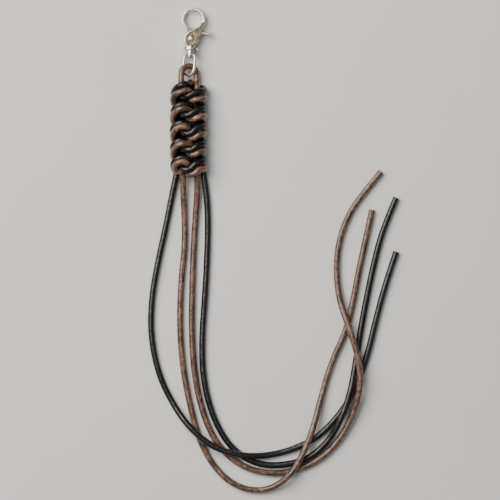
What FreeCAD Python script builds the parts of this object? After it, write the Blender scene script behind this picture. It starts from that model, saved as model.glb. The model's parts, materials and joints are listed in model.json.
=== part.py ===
import FreeCAD, Part
import math
import os
import re

import Sketcher

# A cord key fob lying on a flat surface: a lever snap hook turns on a swivel eye, the eye hangs on
# a cord loop, and two round leather cords, one brown and one black, are tied below it in a long
# square-sided snake knot whose four cut ends lie in loose curves.
#
# Frame: millimetres, +Z up, +Y from the cord ends towards the hook, origin in the middle of the
# hook and knot on the surface they lie on.
# The hook's own frame has its origin at the middle of the ring opening, +Y away from the swivel
# along the swivel's axis, and Z along the gate's pivot.

SIZES = {
    "cord_diameter": (3.0, "both round leather cords"),
    "knot_x": (-1.2, "middle of the knot and of the loop, across the part"),
    "knot_bottom_y": (-38.9, "face of the knot that the four cord ends leave"),
    "knot_turns": (5, "turns of each colour"),
    "knot_pitch": (8.46, "one brown and one black turn"),
    "knot_width": (17.4, "across the knot"),
    "knot_depth": (11.0, "thickness of the knot above the surface"),
    "knot_edge": (0.8, "rounding at both faces of a turn"),
    "loop_radius": (3.85, "bend of the loop's middle line"),
    "loop_rise": (7.9, "top of the loop's middle line above the knot"),
    "loop_tilt": (22.0, "how far the loop is turned out of level, left leg high"),
    "hook_yaw": (-5.5, "hook's lean to the right of the knot's axis"),
    "hook_pitch": (5.9, "hook's slope down from the flange to the ring"),
    "ring_radius": (4.3, "opening of the hook"),
    "bar_width": (1.5, "hook bar, across the ring"),
    "ring_depth": (3.2, "hook bar, along the pivot"),
    "bar_edge": (0.4, "rounding of the hook bar and the housing"),
    "bar_end": (0.5, "hook bar's lower end, left of the swivel axis"),
    "nose_reach": (3.3, "hook's nose, left of the swivel axis"),
    "pivot_reach": (4.9, "gate pivot below the ring's opening"),
    "housing_radius": (3.6, "round housing of the gate's hub"),
    "housing_depth": (5.2, "outside of both cheeks"),
    "cavity_radius": (2.75, "room for the hub and spring"),
    "shoulder_reach": (4.5, "cheeks' right corner over the lever"),
    "neck_radius": (2.0, "groove between housing and flange"),
    "neck_length": (0.8, "groove between housing and flange"),
    "flange_radius": (3.75, "disc at the foot of the hook"),
    "flange_thickness": (1.0, "disc at the foot of the hook"),
    "gate_band": (1.15, "gate's curved blade, across the ring"),
    "gate_side_gap": (0.1, "gate to each cheek"),
    "gate_nose_gap": (0.2, "gate's tip to the nose it closes against"),
    "gate_tip_angle": (131.0, "gate's tip round the ring"),
    "gate_root_angle": (226.0, "gate's lower end round the ring"),
    "gate_edge": (0.3, "rounding of the gate's edges"),
    "arm_reach": (3.5, "gate arm's elbow, left of the pivot"),
    "arm_rise": (3.1, "gate arm's elbow, above the pivot"),
    "arm_width": (1.15, "gate arm"),
    "hub_radius": (1.9, "gate's hub round its rivet"),
    "hub_floor": (1.2, "thickness of the hub under the spring"),
    "spring_room": (2.4, "radius cleared in the gate for the spring"),
    "tab_root": (3.4, "start of the thumb tab, right of the pivot"),
    "tab_reach": (9.6, "end of the thumb tab, right of the pivot"),
    "tab_rise": (3.1, "thumb tab above the pivot"),
    "tab_thickness": (1.0, "thumb tab"),
    "spring_wire": (0.4, "gate spring's wire"),
    "spring_radius": (1.6, "gate spring's coil, middle of the wire"),
    "spring_turns": (2.5, "gate spring's coil"),
    "spring_pitch": (0.45, "gate spring's coil"),
    "spring_leg": (1.3, "each straight end of the gate spring"),
    "rivet_radius": (0.9, "shank of both rivets"),
    "rivet_head_radius": (1.3, "heads of both rivets"),
    "rivet_head_rise": (0.35, "gate rivet's low domed heads"),
    "pivot_gap": (0.05, "gate's bore round its rivet"),
    "swivel_gap": (0.07, "eye's bore round the swivel rivet"),
    "swivel_end_gap": (0.1, "eye to the flange, and to the rivet's head"),
    "swivel_head_rise": (1.0, "swivel rivet's head inside the eye"),
    "boss_radius": (1.6, "eye's boss round the swivel rivet"),
    "boss_length": (2.4, "eye's boss along the swivel rivet"),
    "eye_wire_radius": (0.75, "eye's round section"),
    "eye_half_width": (3.2, "eye's middle line from its axis"),
    "eye_leg_length": (4.4, "eye's straight sides"),
    "eye_slack": (4.45, "eye's foot below the loop's top, middle lines"),
    "eye_roll": (-35.0, "eye turned on the swivel from the hook's plane"),
}

# Distances below the middle of the ring, along the swivel's axis.
PIVOT_DROP = "(ring_radius + pivot_reach)"
FLANGE_TOP = f"({PIVOT_DROP} + housing_radius + neck_length)"
FLANGE_END = f"({FLANGE_TOP} + flange_thickness)"
BOSS_TOP = f"({FLANGE_END} + swivel_end_gap)"
BOSS_END = f"({BOSS_TOP} + boss_length)"
HEAD_TOP = f"({BOSS_END} + swivel_end_gap)"
EYE_TOP = f"({BOSS_TOP} + boss_length / 2)"
EYE_FOOT = f"({EYE_TOP} + 2 * eye_half_width + eye_leg_length)"
SWING_DROP = f"({EYE_FOOT} - eye_slack)"
SHANK_SEAT = f"({FLANGE_END} - 2.4)"

GATE_DEPTH = "(ring_depth - 2 * gate_side_gap)"
KNOT_TOP_Y = "(knot_bottom_y + knot_turns * knot_pitch)"
SWING_Y = f"({KNOT_TOP_Y} + loop_rise)"
SWING_Z = (
    f"(flange_radius * cos(hook_pitch)"
    f" + ({SWING_DROP} - {FLANGE_TOP}) * sin(hook_pitch))"
)

# Free cord ends: points across and along the part, and how many cord thicknesses each point
# stands above a cord that lies on the surface. The first point is on the knot's lower face.
CORD_ROUTES = {
    "black_tail_left": [
        (-6.9, -38.9, 0.13), (-8.8, -47.5, 0.03), (-12.1, -64.6, 0.0), (-16.0, -81.8, 0.0),
        (-19.0, -98.9, 0.0), (-19.5, -117.0, 0.0), (-15.5, -136.0, 0.0), (-8.3, -150.3, 0.0),
        (-0.7, -160.8, 1.17), (10.2, -169.9, 1.23), (24.5, -174.1, 1.2), (38.3, -173.7, 0.0),
        (51.2, -169.9, 0.0), (62.1, -163.7, 0.0), (71.7, -152.7, 0.0), (78.8, -140.8, 0.0),
        (84.0, -125.1, 0.0), (87.7, -109.4, 0.0), (92.1, -92.7, 0.0), (97.4, -77.0, 0.0),
    ],
    "brown_tail_left": [
        (-4.0, -38.9, 1.03), (-4.0, -47.5, 0.57), (-3.3, -58.9, 0.0), (-3.1, -73.7, 0.0),
        (-4.9, -90.3, 0.0), (-5.7, -110.3, 0.0), (-4.3, -131.3, 0.0), (-0.5, -151.3, 0.0),
        (4.5, -168.9, 0.0), (12.6, -181.8, 0.0), (23.1, -189.6, 0.0), (35.5, -190.8, 0.0),
        (46.0, -184.6, 1.17), (52.6, -174.1, 1.23), (57.6, -161.8, 1.17), (61.7, -146.0, 0.0),
        (66.4, -129.9, 0.0), (73.6, -114.6, 0.0), (77.0, -99.9, 0.0), (79.8, -84.6, 0.0),
        (83.1, -70.3, 0.0), (85.9, -57.0, 0.0),
    ],
    "brown_tail_right": [
        (2.9, -38.9, 1.13), (2.9, -47.0, 0.63), (2.0, -59.4, 0.0), (1.0, -76.0, 0.0),
        (0.3, -95.1, 0.0), (0.0, -116.5, 0.0), (1.6, -138.0, 0.0), (6.4, -157.5, 0.0),
        (14.0, -171.3, 0.0), (26.0, -180.4, 0.0), (41.2, -183.0, 0.0), (56.0, -179.1, 0.0),
        (67.9, -170.3, 0.0), (76.0, -157.0, 0.5), (80.5, -141.8, 1.37), (79.8, -128.4, 1.37),
        (75.0, -113.2, 1.3), (70.2, -99.9, 0.37), (68.7, -84.6, 0.0), (70.2, -71.3, 0.0),
        (75.0, -58.4, 0.0), (82.6, -48.0, 0.0), (90.2, -38.9, 0.0),
    ],
    "black_tail_right": [
        (5.6, -38.9, 0.13), (7.0, -47.5, 0.07), (7.9, -59.9, 0.0), (7.6, -76.0, 0.0),
        (6.6, -96.0, 0.0), (4.9, -118.0, 0.0), (5.5, -137.5, 0.0), (10.2, -156.0, 0.0),
        (18.8, -170.6, 0.0), (31.2, -178.3, 0.0), (44.5, -178.5, 0.0), (56.9, -174.9, 0.0),
        (65.5, -166.5, 0.33), (70.7, -157.5, 1.2), (75.5, -144.1, 1.2), (78.0, -130.3, 0.0),
        (80.2, -115.6, 0.0), (83.1, -99.9, 0.0), (86.9, -81.8, 0.0), (91.2, -65.6, 0.0),
        (97.4, -51.3, 0.0),
    ],
}
BEND_SHARE = 0.45  # share of the shorter run that each end of a bend takes

doc = FreeCAD.newDocument("key_fob")
sheet = doc.addObject("Spreadsheet::Sheet", "sizes")
PIECES = []


# ---- the sheet and its formulas -----------------------------------------------------------------


def fill_sheet():
    for row, (name, (value, note)) in enumerate(SIZES.items(), 1):
        sheet.set(f"A{row}", name)
        sheet.set(f"B{row}", str(value))
        sheet.set(f"C{row}", note)
        sheet.setAlias(f"B{row}", name)
    doc.recompute()


def formula(text):
    """The text with each size's name made a reference to the sheet."""
    return re.sub(r"[a-z_]+", lambda word: "sizes." * (word.group() in SIZES) + word.group(), text)


def bind(item, name, text):
    item.setExpression(name, formula(text))


def size(text):
    """What a formula comes to now, in millimetres or degrees."""
    return float(doc.evalExpression(formula(text)) if hasattr(doc, "evalExpression")
                 else sheet.evalExpression(formula(text)))


def place(item, *steps):
    """Bind the placement to a chain of moves, each a shift, a turning axis and an angle."""
    chain = [
        f"placement(vector({'; '.join(shift)}); rotation(vector({axis}); {angle}))"
        for shift, axis, angle in steps
    ]
    bind(item, "Placement", " * ".join(chain))


ALONG_X, ALONG_Y, ALONG_Z = "1; 0; 0", "0; 1; 0", "0; 0; 1"
HOOK_FRAME = (
    (("knot_x", SWING_Y, SWING_Z), ALONG_Z, "hook_yaw"),
    (("0", "0", "0"), ALONG_X, "-hook_pitch"),
    (("0", SWING_DROP, "0"), ALONG_Z, "0"),
)


def finished(item, label):
    item.Label = label
    PIECES.append(item)
    return item


# ---- sketches and features ----------------------------------------------------------------------


def start_body(label):
    return finished(doc.addObject("PartDesign::Body", label), label)


def start_sketch(body, label, role):
    sketch = body.newObject("Sketcher::SketchObject", label)
    plane = [item for item in body.Origin.OriginFeatures if item.Role == role][0]
    sketch.AttachmentSupport = (plane, [""])
    sketch.MapMode = "FlatFace"
    return sketch


def outline(body, label, role, corners):
    """A closed sketch of straight sides, with both coordinates of each corner bound."""
    sketch = start_sketch(body, label, role)
    spots = [FreeCAD.Vector(size(x), size(y), 0) for x, y in corners]
    count = len(spots)
    for side in range(count):
        sketch.addGeometry(Part.LineSegment(spots[side], spots[(side + 1) % count]), False)
    for side in range(count):
        joined = Sketcher.Constraint("Coincident", side, 2, (side + 1) % count, 1)
        sketch.addConstraint(joined)
    for side, (x, y) in enumerate(corners):
        for way, text, value in (("DistanceX", x, spots[side].x), ("DistanceY", y, spots[side].y)):
            index = sketch.addConstraint(Sketcher.Constraint(way, -1, 1, side, 1, value))
            bind(sketch, f"Constraints[{index}]", text)
    return sketch


def disc(body, label, role, centre_y, radius):
    """A sketch of one circle whose middle is on the sketch's upright axis."""
    sketch = start_sketch(body, label, role)
    middle = FreeCAD.Vector(0, size(centre_y), 0)
    sketch.addGeometry(Part.Circle(middle, FreeCAD.Vector(0, 0, 1), size(radius)), False)
    sketch.addConstraint(Sketcher.Constraint("PointOnObject", 0, 3, -2))
    index = sketch.addConstraint(Sketcher.Constraint("DistanceY", -1, 1, 0, 3, size(centre_y)))
    bind(sketch, f"Constraints[{index}]", centre_y)
    index = sketch.addConstraint(Sketcher.Constraint("Radius", 0, size(radius)))
    bind(sketch, f"Constraints[{index}]", radius)
    return sketch


def pad(body, label, sketch, depth):
    feature = body.newObject("PartDesign::Pad", label)
    feature.Profile = sketch
    feature.Midplane = True
    bind(feature, "Length", depth)
    return feature


def pocket(body, label, sketch, depth, both_ways=True):
    feature = body.newObject("PartDesign::Pocket", label)
    feature.Profile = sketch
    feature.Midplane = both_ways
    bind(feature, "Length", depth)
    return feature


def revolve(body, label, sketch, cut=False, angle="360"):
    """Turn the sketch about its own upright axis."""
    kind = "PartDesign::Groove" if cut else "PartDesign::Revolution"
    feature = body.newObject(kind, label)
    feature.Profile = sketch
    feature.ReferenceAxis = (sketch, ["V_Axis"])
    feature.Midplane = True
    bind(feature, "Angle", angle)
    return feature


def soften(body, label, radius, chosen):
    """Round the edges of the body's last feature that the test chooses."""
    doc.recompute()
    base = body.Tip
    names = [f"Edge{k}" for k, edge in enumerate(base.Shape.Edges, 1) if chosen(edge)]
    feature = body.newObject("PartDesign::Fillet", label)
    feature.Base = (base, names)
    bind(feature, "Radius", radius)
    return feature


def level_edge(height):
    """A test for edges that lie wholly at plus or minus a height along the pivot."""
    def test(edge):
        box = edge.BoundBox
        flat = box.ZLength < 1e-6
        return flat and abs(abs(box.ZMin) - height) < 1e-6
    return test


# ---- the hook -----------------------------------------------------------------------------------


def make_hook_body():
    """Cast hook: ring bar with its nose, housing with two cheeks, groove and flange."""
    body = start_body("hook_body")
    section = outline(body, "bar_section", "XZ_Plane", [
        ("ring_radius", "-ring_depth / 2"),
        ("ring_radius + bar_width", "-ring_depth / 2"),
        ("ring_radius + bar_width", "ring_depth / 2"),
        ("ring_radius", "ring_depth / 2"),
    ])
    revolve(body, "ring_bar", section)
    # The gap that the gate closes; its top edge is the nose's underside.
    gap = outline(body, "gate_gap", "XY_Plane", [
        ("-nose_reach", "2 * ring_radius"),
        ("-2 * ring_radius", "2 * ring_radius"),
        ("-2 * ring_radius", "-2 * ring_radius"),
        ("-bar_end", "-2 * ring_radius"),
        ("-bar_end", "-ring_radius / 4"),
        ("0", "-ring_radius / 4"),
        ("0", "ring_radius"),
        ("-nose_reach", "ring_radius - 0.13 * nose_reach"),
    ])
    pocket(body, "open_ring", gap, "2 * ring_depth")
    soften(body, "bar_rounding", "bar_edge", level_edge(size("ring_depth / 2")))

    pad(body, "housing", disc(body, "housing_disc", "XY_Plane", f"-{PIVOT_DROP}", "housing_radius"),
        "housing_depth")
    shoulders = outline(body, "shoulder_outline", "XY_Plane", [
        ("-0.93 * housing_radius", f"1.3 - {PIVOT_DROP}"),
        ("-bar_end - 0.1", "-ring_radius - 0.35"),
        ("0.9", "-ring_radius - 0.15"),
        ("3.4", "1.05 - ring_radius"),
        ("ring_radius", "-0.75 * ring_radius - 1.2"),
        ("shoulder_reach", f"2.7 - {PIVOT_DROP}"),
        ("0.96 * housing_radius", f"0.9 - {PIVOT_DROP}"),
        ("0", f"-{PIVOT_DROP}"),
    ])
    pad(body, "shoulders", shoulders, "housing_depth")
    soften(body, "cheek_rounding", "bar_edge", level_edge(size("housing_depth / 2")))

    cavity = disc(body, "hub_room", "XY_Plane", f"-{PIVOT_DROP}", "cavity_radius")
    pocket(body, "cavity", cavity, "ring_depth")
    passage = outline(body, "lever_passage", "XY_Plane", [
        ("-3 * housing_radius", f"1.6 - {PIVOT_DROP}"),
        ("-0.8 * cavity_radius", f"0.8 - {PIVOT_DROP}"),
        ("0.85 * cavity_radius", f"-1.1 - {PIVOT_DROP}"),
        ("3 * housing_radius", f"-1.1 - {PIVOT_DROP}"),
        ("3 * housing_radius", f"tab_rise + tab_thickness / 2 + 0.3 - {PIVOT_DROP}"),
        ("2.8", f"tab_rise + tab_thickness / 2 + 0.3 - {PIVOT_DROP}"),
        ("2.2", "-ring_radius - bar_width - 0.1"),
        ("-bar_end", "-ring_radius - bar_width - 0.1"),
        ("-bar_end", "-ring_radius / 2"),
        ("-3 * housing_radius", "-ring_radius / 2"),
    ])
    pocket(body, "lever_slot", passage, "ring_depth")

    foot = outline(body, "foot_profile", "XY_Plane", [
        ("0", f"0.4 - {PIVOT_DROP} - housing_radius"),
        ("neck_radius", f"0.4 - {PIVOT_DROP} - housing_radius"),
        ("neck_radius", f"-{FLANGE_TOP}"),
        ("flange_radius", f"-{FLANGE_TOP}"),
        ("flange_radius", f"-{FLANGE_END}"),
        ("0", f"-{FLANGE_END}"),
    ])
    revolve(body, "foot", foot)
    seat = outline(body, "shank_seat", "XY_Plane", [
        ("0", f"-{SHANK_SEAT}"),
        ("rivet_radius", f"-{SHANK_SEAT}"),
        ("rivet_radius", f"-{BOSS_TOP}"),
        ("0", f"-{BOSS_TOP}"),
    ])
    revolve(body, "swivel_hole", seat, cut=True)
    hole = disc(body, "rivet_outline", "XY_Plane", f"-{PIVOT_DROP}", "rivet_radius")
    pocket(body, "rivet_hole", hole, "2 * housing_depth")
    place(body, *HOOK_FRAME)


def make_gate_lever():
    """One piece: curved gate, arm, hub on the rivet, and the thumb tab on the other side."""
    body = start_body("gate_lever")
    section = outline(body, "blade_section", "XZ_Plane", [
        ("ring_radius", f"-{GATE_DEPTH} / 2"),
        ("ring_radius + gate_band", f"-{GATE_DEPTH} / 2"),
        ("ring_radius + gate_band", f"{GATE_DEPTH} / 2"),
        ("ring_radius", f"{GATE_DEPTH} / 2"),
    ])
    bind(section, "AttachmentOffset",
         "placement(vector(0; 0; 0); rotation(vector(0; 1; 0);"
         " (gate_tip_angle + gate_root_angle) / 2))")
    revolve(body, "blade", section, angle="gate_root_angle - gate_tip_angle")
    soften(body, "blade_rounding", "gate_edge", level_edge(size(f"{GATE_DEPTH} / 2")))
    arm = outline(body, "arm_outline", "XY_Plane", [
        ("(ring_radius + gate_band) * cos(gate_root_angle - 4)",
         "(ring_radius + gate_band) * sin(gate_root_angle - 4)"),
        ("-arm_reach", f"arm_rise - {PIVOT_DROP}"),
        ("-0.8 * hub_radius", f"-{PIVOT_DROP}"),
        ("0", f"0.7 * hub_radius - {PIVOT_DROP}"),
        ("arm_width - arm_reach", f"arm_rise + 0.4 - {PIVOT_DROP}"),
        ("ring_radius * cos(gate_root_angle)", "ring_radius * sin(gate_root_angle)"),
    ])
    pad(body, "arm", arm, GATE_DEPTH)
    pad(body, "hub", disc(body, "hub_outline", "XY_Plane", f"-{PIVOT_DROP}", "hub_radius"), GATE_DEPTH)
    tab = outline(body, "tab_outline", "XY_Plane", [
        ("0", f"0.8 * hub_radius - {PIVOT_DROP}"),
        ("tab_root", f"tab_rise + tab_thickness / 2 - {PIVOT_DROP}"),
        ("tab_reach", f"tab_rise + tab_thickness / 2 - {PIVOT_DROP}"),
        ("tab_reach", f"tab_rise - tab_thickness / 2 - {PIVOT_DROP}"),
        ("tab_root + 0.6", f"tab_rise - tab_thickness / 2 - {PIVOT_DROP}"),
        ("0.8 * hub_radius", f"-{PIVOT_DROP}"),
    ])
    pad(body, "tab", tab, GATE_DEPTH)
    level = level_edge(size(f"{GATE_DEPTH} / 2"))
    beyond = size("tab_root - 0.1")
    soften(body, "tab_rounding", "gate_edge",
           lambda edge: level(edge) and edge.BoundBox.XMin > beyond)
    # The tip is trimmed so that it passes under the nose as the gate swings in.
    tip = outline(body, "tip_trim", "XY_Plane", [
        ("-1.4 * ring_radius", "ring_radius - gate_nose_gap - 0.13 * nose_reach - 0.86"),
        ("-0.55 * ring_radius", "ring_radius - gate_nose_gap - 0.13 * nose_reach + 0.16"),
        ("-0.55 * ring_radius", "2 * ring_radius"),
        ("-1.4 * ring_radius", "2 * ring_radius"),
    ])
    pocket(body, "tip", tip, "2 * ring_depth")
    room = disc(body, "spring_room_outline", "XY_Plane", f"-{PIVOT_DROP}", "spring_room")
    bind(room, "AttachmentOffset",
         f"placement(vector(0; 0; {GATE_DEPTH} / 2); rotation(vector(0; 0; 1); 0))")
    pocket(body, "spring_well", room, f"{GATE_DEPTH} - hub_floor", both_ways=False)
    pocket(body, "bore", disc(body, "bore_outline", "XY_Plane", f"-{PIVOT_DROP}",
                              "rivet_radius + pivot_gap"), "2 * ring_depth")
    place(body, *HOOK_FRAME)


def make_gate_rivet():
    """Shank through both cheeks with a low domed head outside each."""
    body = start_body("gate_rivet")
    profile = outline(body, "rivet_profile", "XZ_Plane", [
        ("0", "-housing_depth / 2 - rivet_head_rise"),
        ("0.6 * rivet_head_radius", "-housing_depth / 2 - rivet_head_rise"),
        ("rivet_head_radius", "-housing_depth / 2 - rivet_head_rise / 3"),
        ("rivet_head_radius", "-housing_depth / 2"),
        ("rivet_radius", "-housing_depth / 2"),
        ("rivet_radius", "housing_depth / 2"),
        ("rivet_head_radius", "housing_depth / 2"),
        ("rivet_head_radius", "housing_depth / 2 + rivet_head_rise / 3"),
        ("0.6 * rivet_head_radius", "housing_depth / 2 + rivet_head_rise"),
        ("0", "housing_depth / 2 + rivet_head_rise"),
    ])
    revolve(body, "rivet", profile)
    place(body, *HOOK_FRAME, (("0", f"-{PIVOT_DROP}", "0"), ALONG_Z, "0"))


def make_gate_spring():
    """Torsion spring round the rivet, on the hub's floor, with two short straight ends."""
    radius, pitch = size("spring_radius"), size("spring_pitch")
    rise = pitch * size("spring_turns")
    coil = Part.makeHelix(pitch, rise, radius)
    ends = [coil.Vertexes[0].Point, coil.Vertexes[-1].Point]
    ends.sort(key=lambda point: point.z)
    leg = size("spring_leg")
    runs = []
    for end, way in zip(ends, (-1, 1)):
        outward = FreeCAD.Vector(end.x, end.y, 0)
        along = FreeCAD.Vector(-outward.y, outward.x, 0) * (way * leg / radius)
        runs.append(Part.makeLine(end, end + along))
    path = Part.Wire(Part.sortEdges([*runs, *coil.Edges])[0])
    start = path.OrderedVertexes[0].Point
    way = path.OrderedVertexes[1].Point - start
    section = Part.Wire(Part.makeCircle(size("spring_wire / 2"), start, way))
    spring = doc.addObject("Part::Feature", "gate_spring")
    spring.Shape = path.makePipeShell([section], True, True)
    height = f"hub_floor - {GATE_DEPTH} / 2 + spring_wire / 2 + gate_side_gap"
    place(spring, *HOOK_FRAME, (("0", f"-{PIVOT_DROP}", height), ALONG_Z, "20"))
    finished(spring, "gate_spring")


def make_swivel_rivet():
    """Pressed into the foot of the hook; its head turns freely inside the eye."""
    body = start_body("swivel_rivet")
    profile = outline(body, "swivel_profile", "XY_Plane", [
        ("0", f"-{SHANK_SEAT}"),
        ("rivet_radius", f"-{SHANK_SEAT}"),
        ("rivet_radius", f"-{HEAD_TOP}"),
        ("rivet_head_radius", f"-{HEAD_TOP}"),
        ("rivet_head_radius", f"-{HEAD_TOP} - swivel_head_rise / 2"),
        ("0.6 * rivet_head_radius", f"-{HEAD_TOP} - swivel_head_rise"),
        ("0", f"-{HEAD_TOP} - swivel_head_rise"),
    ])
    revolve(body, "swivel", profile)
    place(body, *HOOK_FRAME)


# ---- the eye and the cord loop ------------------------------------------------------------------


def round_bend(radius, wire, height, turned):
    """Half a torus, bowed up, or down when turned, with its middle at a height along Y."""
    bend = doc.addObject("Part::Torus", "bend")
    bind(bend, "Radius1", radius)
    bind(bend, "Radius2", wire)
    bend.Angle3 = 180
    place(bend, (("0", height, "0"), ALONG_Z, "180" if turned else "0"))
    return bend


def round_leg(radius, across, top, length):
    """A cylinder that runs down from its top along Y."""
    leg = doc.addObject("Part::Cylinder", "leg")
    bind(leg, "Radius", radius)
    bind(leg, "Height", length)
    place(leg, ((across, top, "0"), ALONG_X, "90"))
    return leg


def join(label, shapes):
    whole = doc.addObject("Part::MultiFuse", label)
    whole.Shapes = shapes
    whole.Refine = True
    return whole


def make_swivel_eye():
    """Long oval eye of round bar with a bored boss at its head."""
    top = f"-({EYE_TOP} + eye_half_width)"
    blank = join("eye_blank", [
        round_bend("eye_half_width", "eye_wire_radius", top, False),
        round_leg("eye_wire_radius", "-eye_half_width", top, "eye_leg_length"),
        round_leg("eye_wire_radius", "eye_half_width", top, "eye_leg_length"),
        round_bend("eye_half_width", "eye_wire_radius", f"{top} - eye_leg_length", True),
        round_leg("boss_radius", "0", f"-{BOSS_TOP}", "boss_length"),
    ])
    eye = doc.addObject("Part::Cut", "swivel_eye")
    eye.Base = blank
    eye.Tool = round_leg("rivet_radius + swivel_gap", "0", f"-{BOSS_TOP} + 1", "boss_length + 2")
    place(eye, *HOOK_FRAME, (("0", "0", "0"), ALONG_Y, "eye_roll"))
    finished(eye, "swivel_eye")


def make_brown_loop():
    """The brown cord's bend through the eye, down to the knot's upper face."""
    cord = "cord_diameter / 2"
    loop = join("brown_loop", [
        round_bend("loop_radius", cord, "-loop_radius", False),
        round_leg(cord, "-loop_radius", "-loop_radius", "loop_rise - loop_radius"),
        round_leg(cord, "loop_radius", "-loop_radius", "loop_rise - loop_radius"),
    ])
    place(loop, (("knot_x", SWING_Y, SWING_Z), ALONG_Y, "loop_tilt"))
    finished(loop, "brown_loop")


# ---- the knot -----------------------------------------------------------------------------------


def knot_turn(index):
    """One turn: a slab with rounded sides, half a pitch long, counted from the knot's foot."""
    foot = f"(knot_bottom_y + {index} * knot_pitch / 2)"
    middle = doc.addObject("Part::Box", "turn_middle")
    bind(middle, "Length", "knot_width - knot_depth")
    bind(middle, "Width", "knot_pitch / 2")
    bind(middle, "Height", "knot_depth")
    place(middle, (("knot_x - (knot_width - knot_depth) / 2", foot, "0"), ALONG_Z, "0"))
    sides = []
    for sign in ("-", "+"):
        side = doc.addObject("Part::Cylinder", "turn_side")
        bind(side, "Radius", "knot_depth / 2")
        bind(side, "Height", "knot_pitch / 2")
        across = f"knot_x {sign} (knot_width - knot_depth) / 2"
        place(side, ((across, f"{foot} + knot_pitch / 2", "knot_depth / 2"), ALONG_X, "90"))
        sides.append(side)
    slab = join("turn_slab", [middle, *sides])
    doc.recompute()
    rim = [k for k, edge in enumerate(slab.Shape.Edges, 1) if edge.BoundBox.YLength < 1e-6]
    turn = doc.addObject("Part::Fillet", "turn")
    turn.Base = slab
    turn.Edges = [(k, size("knot_edge"), size("knot_edge")) for k in rim]
    return turn


def make_knot():
    """Brown and black turns by turns; the lowest is brown."""
    turns = [knot_turn(index) for index in range(2 * int(SIZES["knot_turns"][0]))]
    for label, own in (("brown_knot_turns", turns[0::2]), ("black_knot_turns", turns[1::2])):
        group = doc.addObject("Part::Compound", label)
        group.Links = own
        finished(group, label)


# ---- the free cord ends -------------------------------------------------------------------------


def cord_path(points):
    """Straight runs joined by the largest tangent arcs that they leave room for."""
    edges, radii = [], []
    start = points[0]
    for before, corner, after in zip(points, points[1:], points[2:]):
        inward, outward = corner - before, after - corner
        trim = BEND_SHARE * min(inward.Length, outward.Length)
        turn = inward.getAngle(outward)
        radius = trim / math.tan(turn / 2)
        inward.normalize()
        outward.normalize()
        first, last = corner - inward * trim, corner + outward * trim
        to_middle = outward - inward
        to_middle.normalize()
        depth = radius / math.cos(turn / 2) - radius
        edges.append(Part.LineSegment(start, first).toShape())
        edges.append(Part.Arc(first, corner + to_middle * depth, last).toShape())
        radii.append(radius)
        start = last
    edges.append(Part.LineSegment(start, points[-1]).toShape())
    return Part.Wire(edges), radii


def make_cord(label, route):
    thickness = size("cord_diameter")
    points = [FreeCAD.Vector(x, y, thickness * (0.5 + rise)) for x, y, rise in route]
    path, radii = cord_path(points)
    section = Part.Wire(Part.makeCircle(thickness / 2, points[0], points[1] - points[0]))
    cord = doc.addObject("Part::Feature", label)
    cord.Shape = path.makePipeShell([section], True, False)
    finished(cord, label)
    expected = math.pi * thickness**2 / 4 * path.Length
    print(f"{label}: length {path.Length:.1f}, volume {cord.Shape.Volume / expected:.4f} of section"
          f" times length, radii {' '.join(f'{radius:.0f}' for radius in radii)}")


# ---- the whole ----------------------------------------------------------------------------------


def check_document():
    for item in doc.Objects:
        if {"Invalid", "Error"} & set(item.State):
            raise RuntimeError(f"{item.Label} failed: {item.State}")
    for piece in PIECES:
        if piece.Shape.isNull() or not piece.Shape.isValid():
            raise RuntimeError(f"{piece.Label} has no valid shape")


def print_places():
    """Joint axes and mounts in the part's frame, in metres, as the record needs them."""
    hook = [piece for piece in PIECES if piece.Label == "hook_body"][0].Placement
    turn = hook.Rotation
    spots = {
        "ring middle": FreeCAD.Vector(),
        "gate pivot": FreeCAD.Vector(0, -size(f"{PIVOT_DROP}"), 0),
        "swivel": FreeCAD.Vector(0, -size(BOSS_TOP), 0),
        "swing": FreeCAD.Vector(0, -size(SWING_DROP), 0),
    }
    for name, spot in spots.items():
        print(name, [round(value / 1000, 6) for value in hook.multVec(spot)])
    for name, axis in (("hook X", (1, 0, 0)), ("hook Y", (0, 1, 0)), ("hook Z", (0, 0, 1))):
        print(name, [round(value, 6) for value in turn.multVec(FreeCAD.Vector(*axis))])


def main():
    fill_sheet()
    make_hook_body()
    make_gate_lever()
    make_gate_rivet()
    make_gate_spring()
    make_swivel_rivet()
    make_swivel_eye()
    make_brown_loop()
    make_knot()
    for label, route in CORD_ROUTES.items():
        make_cord(label, route)
    doc.recompute()
    check_document()
    print_places()
    os.makedirs("parts", exist_ok=True)
    for piece in PIECES:
        piece.Shape.exportStep(f"parts/{piece.Label}.step")
        print(f"{piece.Label}: {len(piece.Shape.Solids)} solids, {piece.Shape.Volume:.1f} mm3")


main()
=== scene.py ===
"""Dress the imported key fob: a plated lever snap hook on round leather cords, tied in a long square knot.

Every length in this file is in millimetres, but for one that says otherwise, and is turned into Blender's
metres where Blender takes it. Places are in the fob's own frame, which the CAD parts share.
"""

import json
import logging
import math
from collections.abc import Iterator
from dataclasses import dataclass, field
from enum import Enum
from functools import partial

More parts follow.
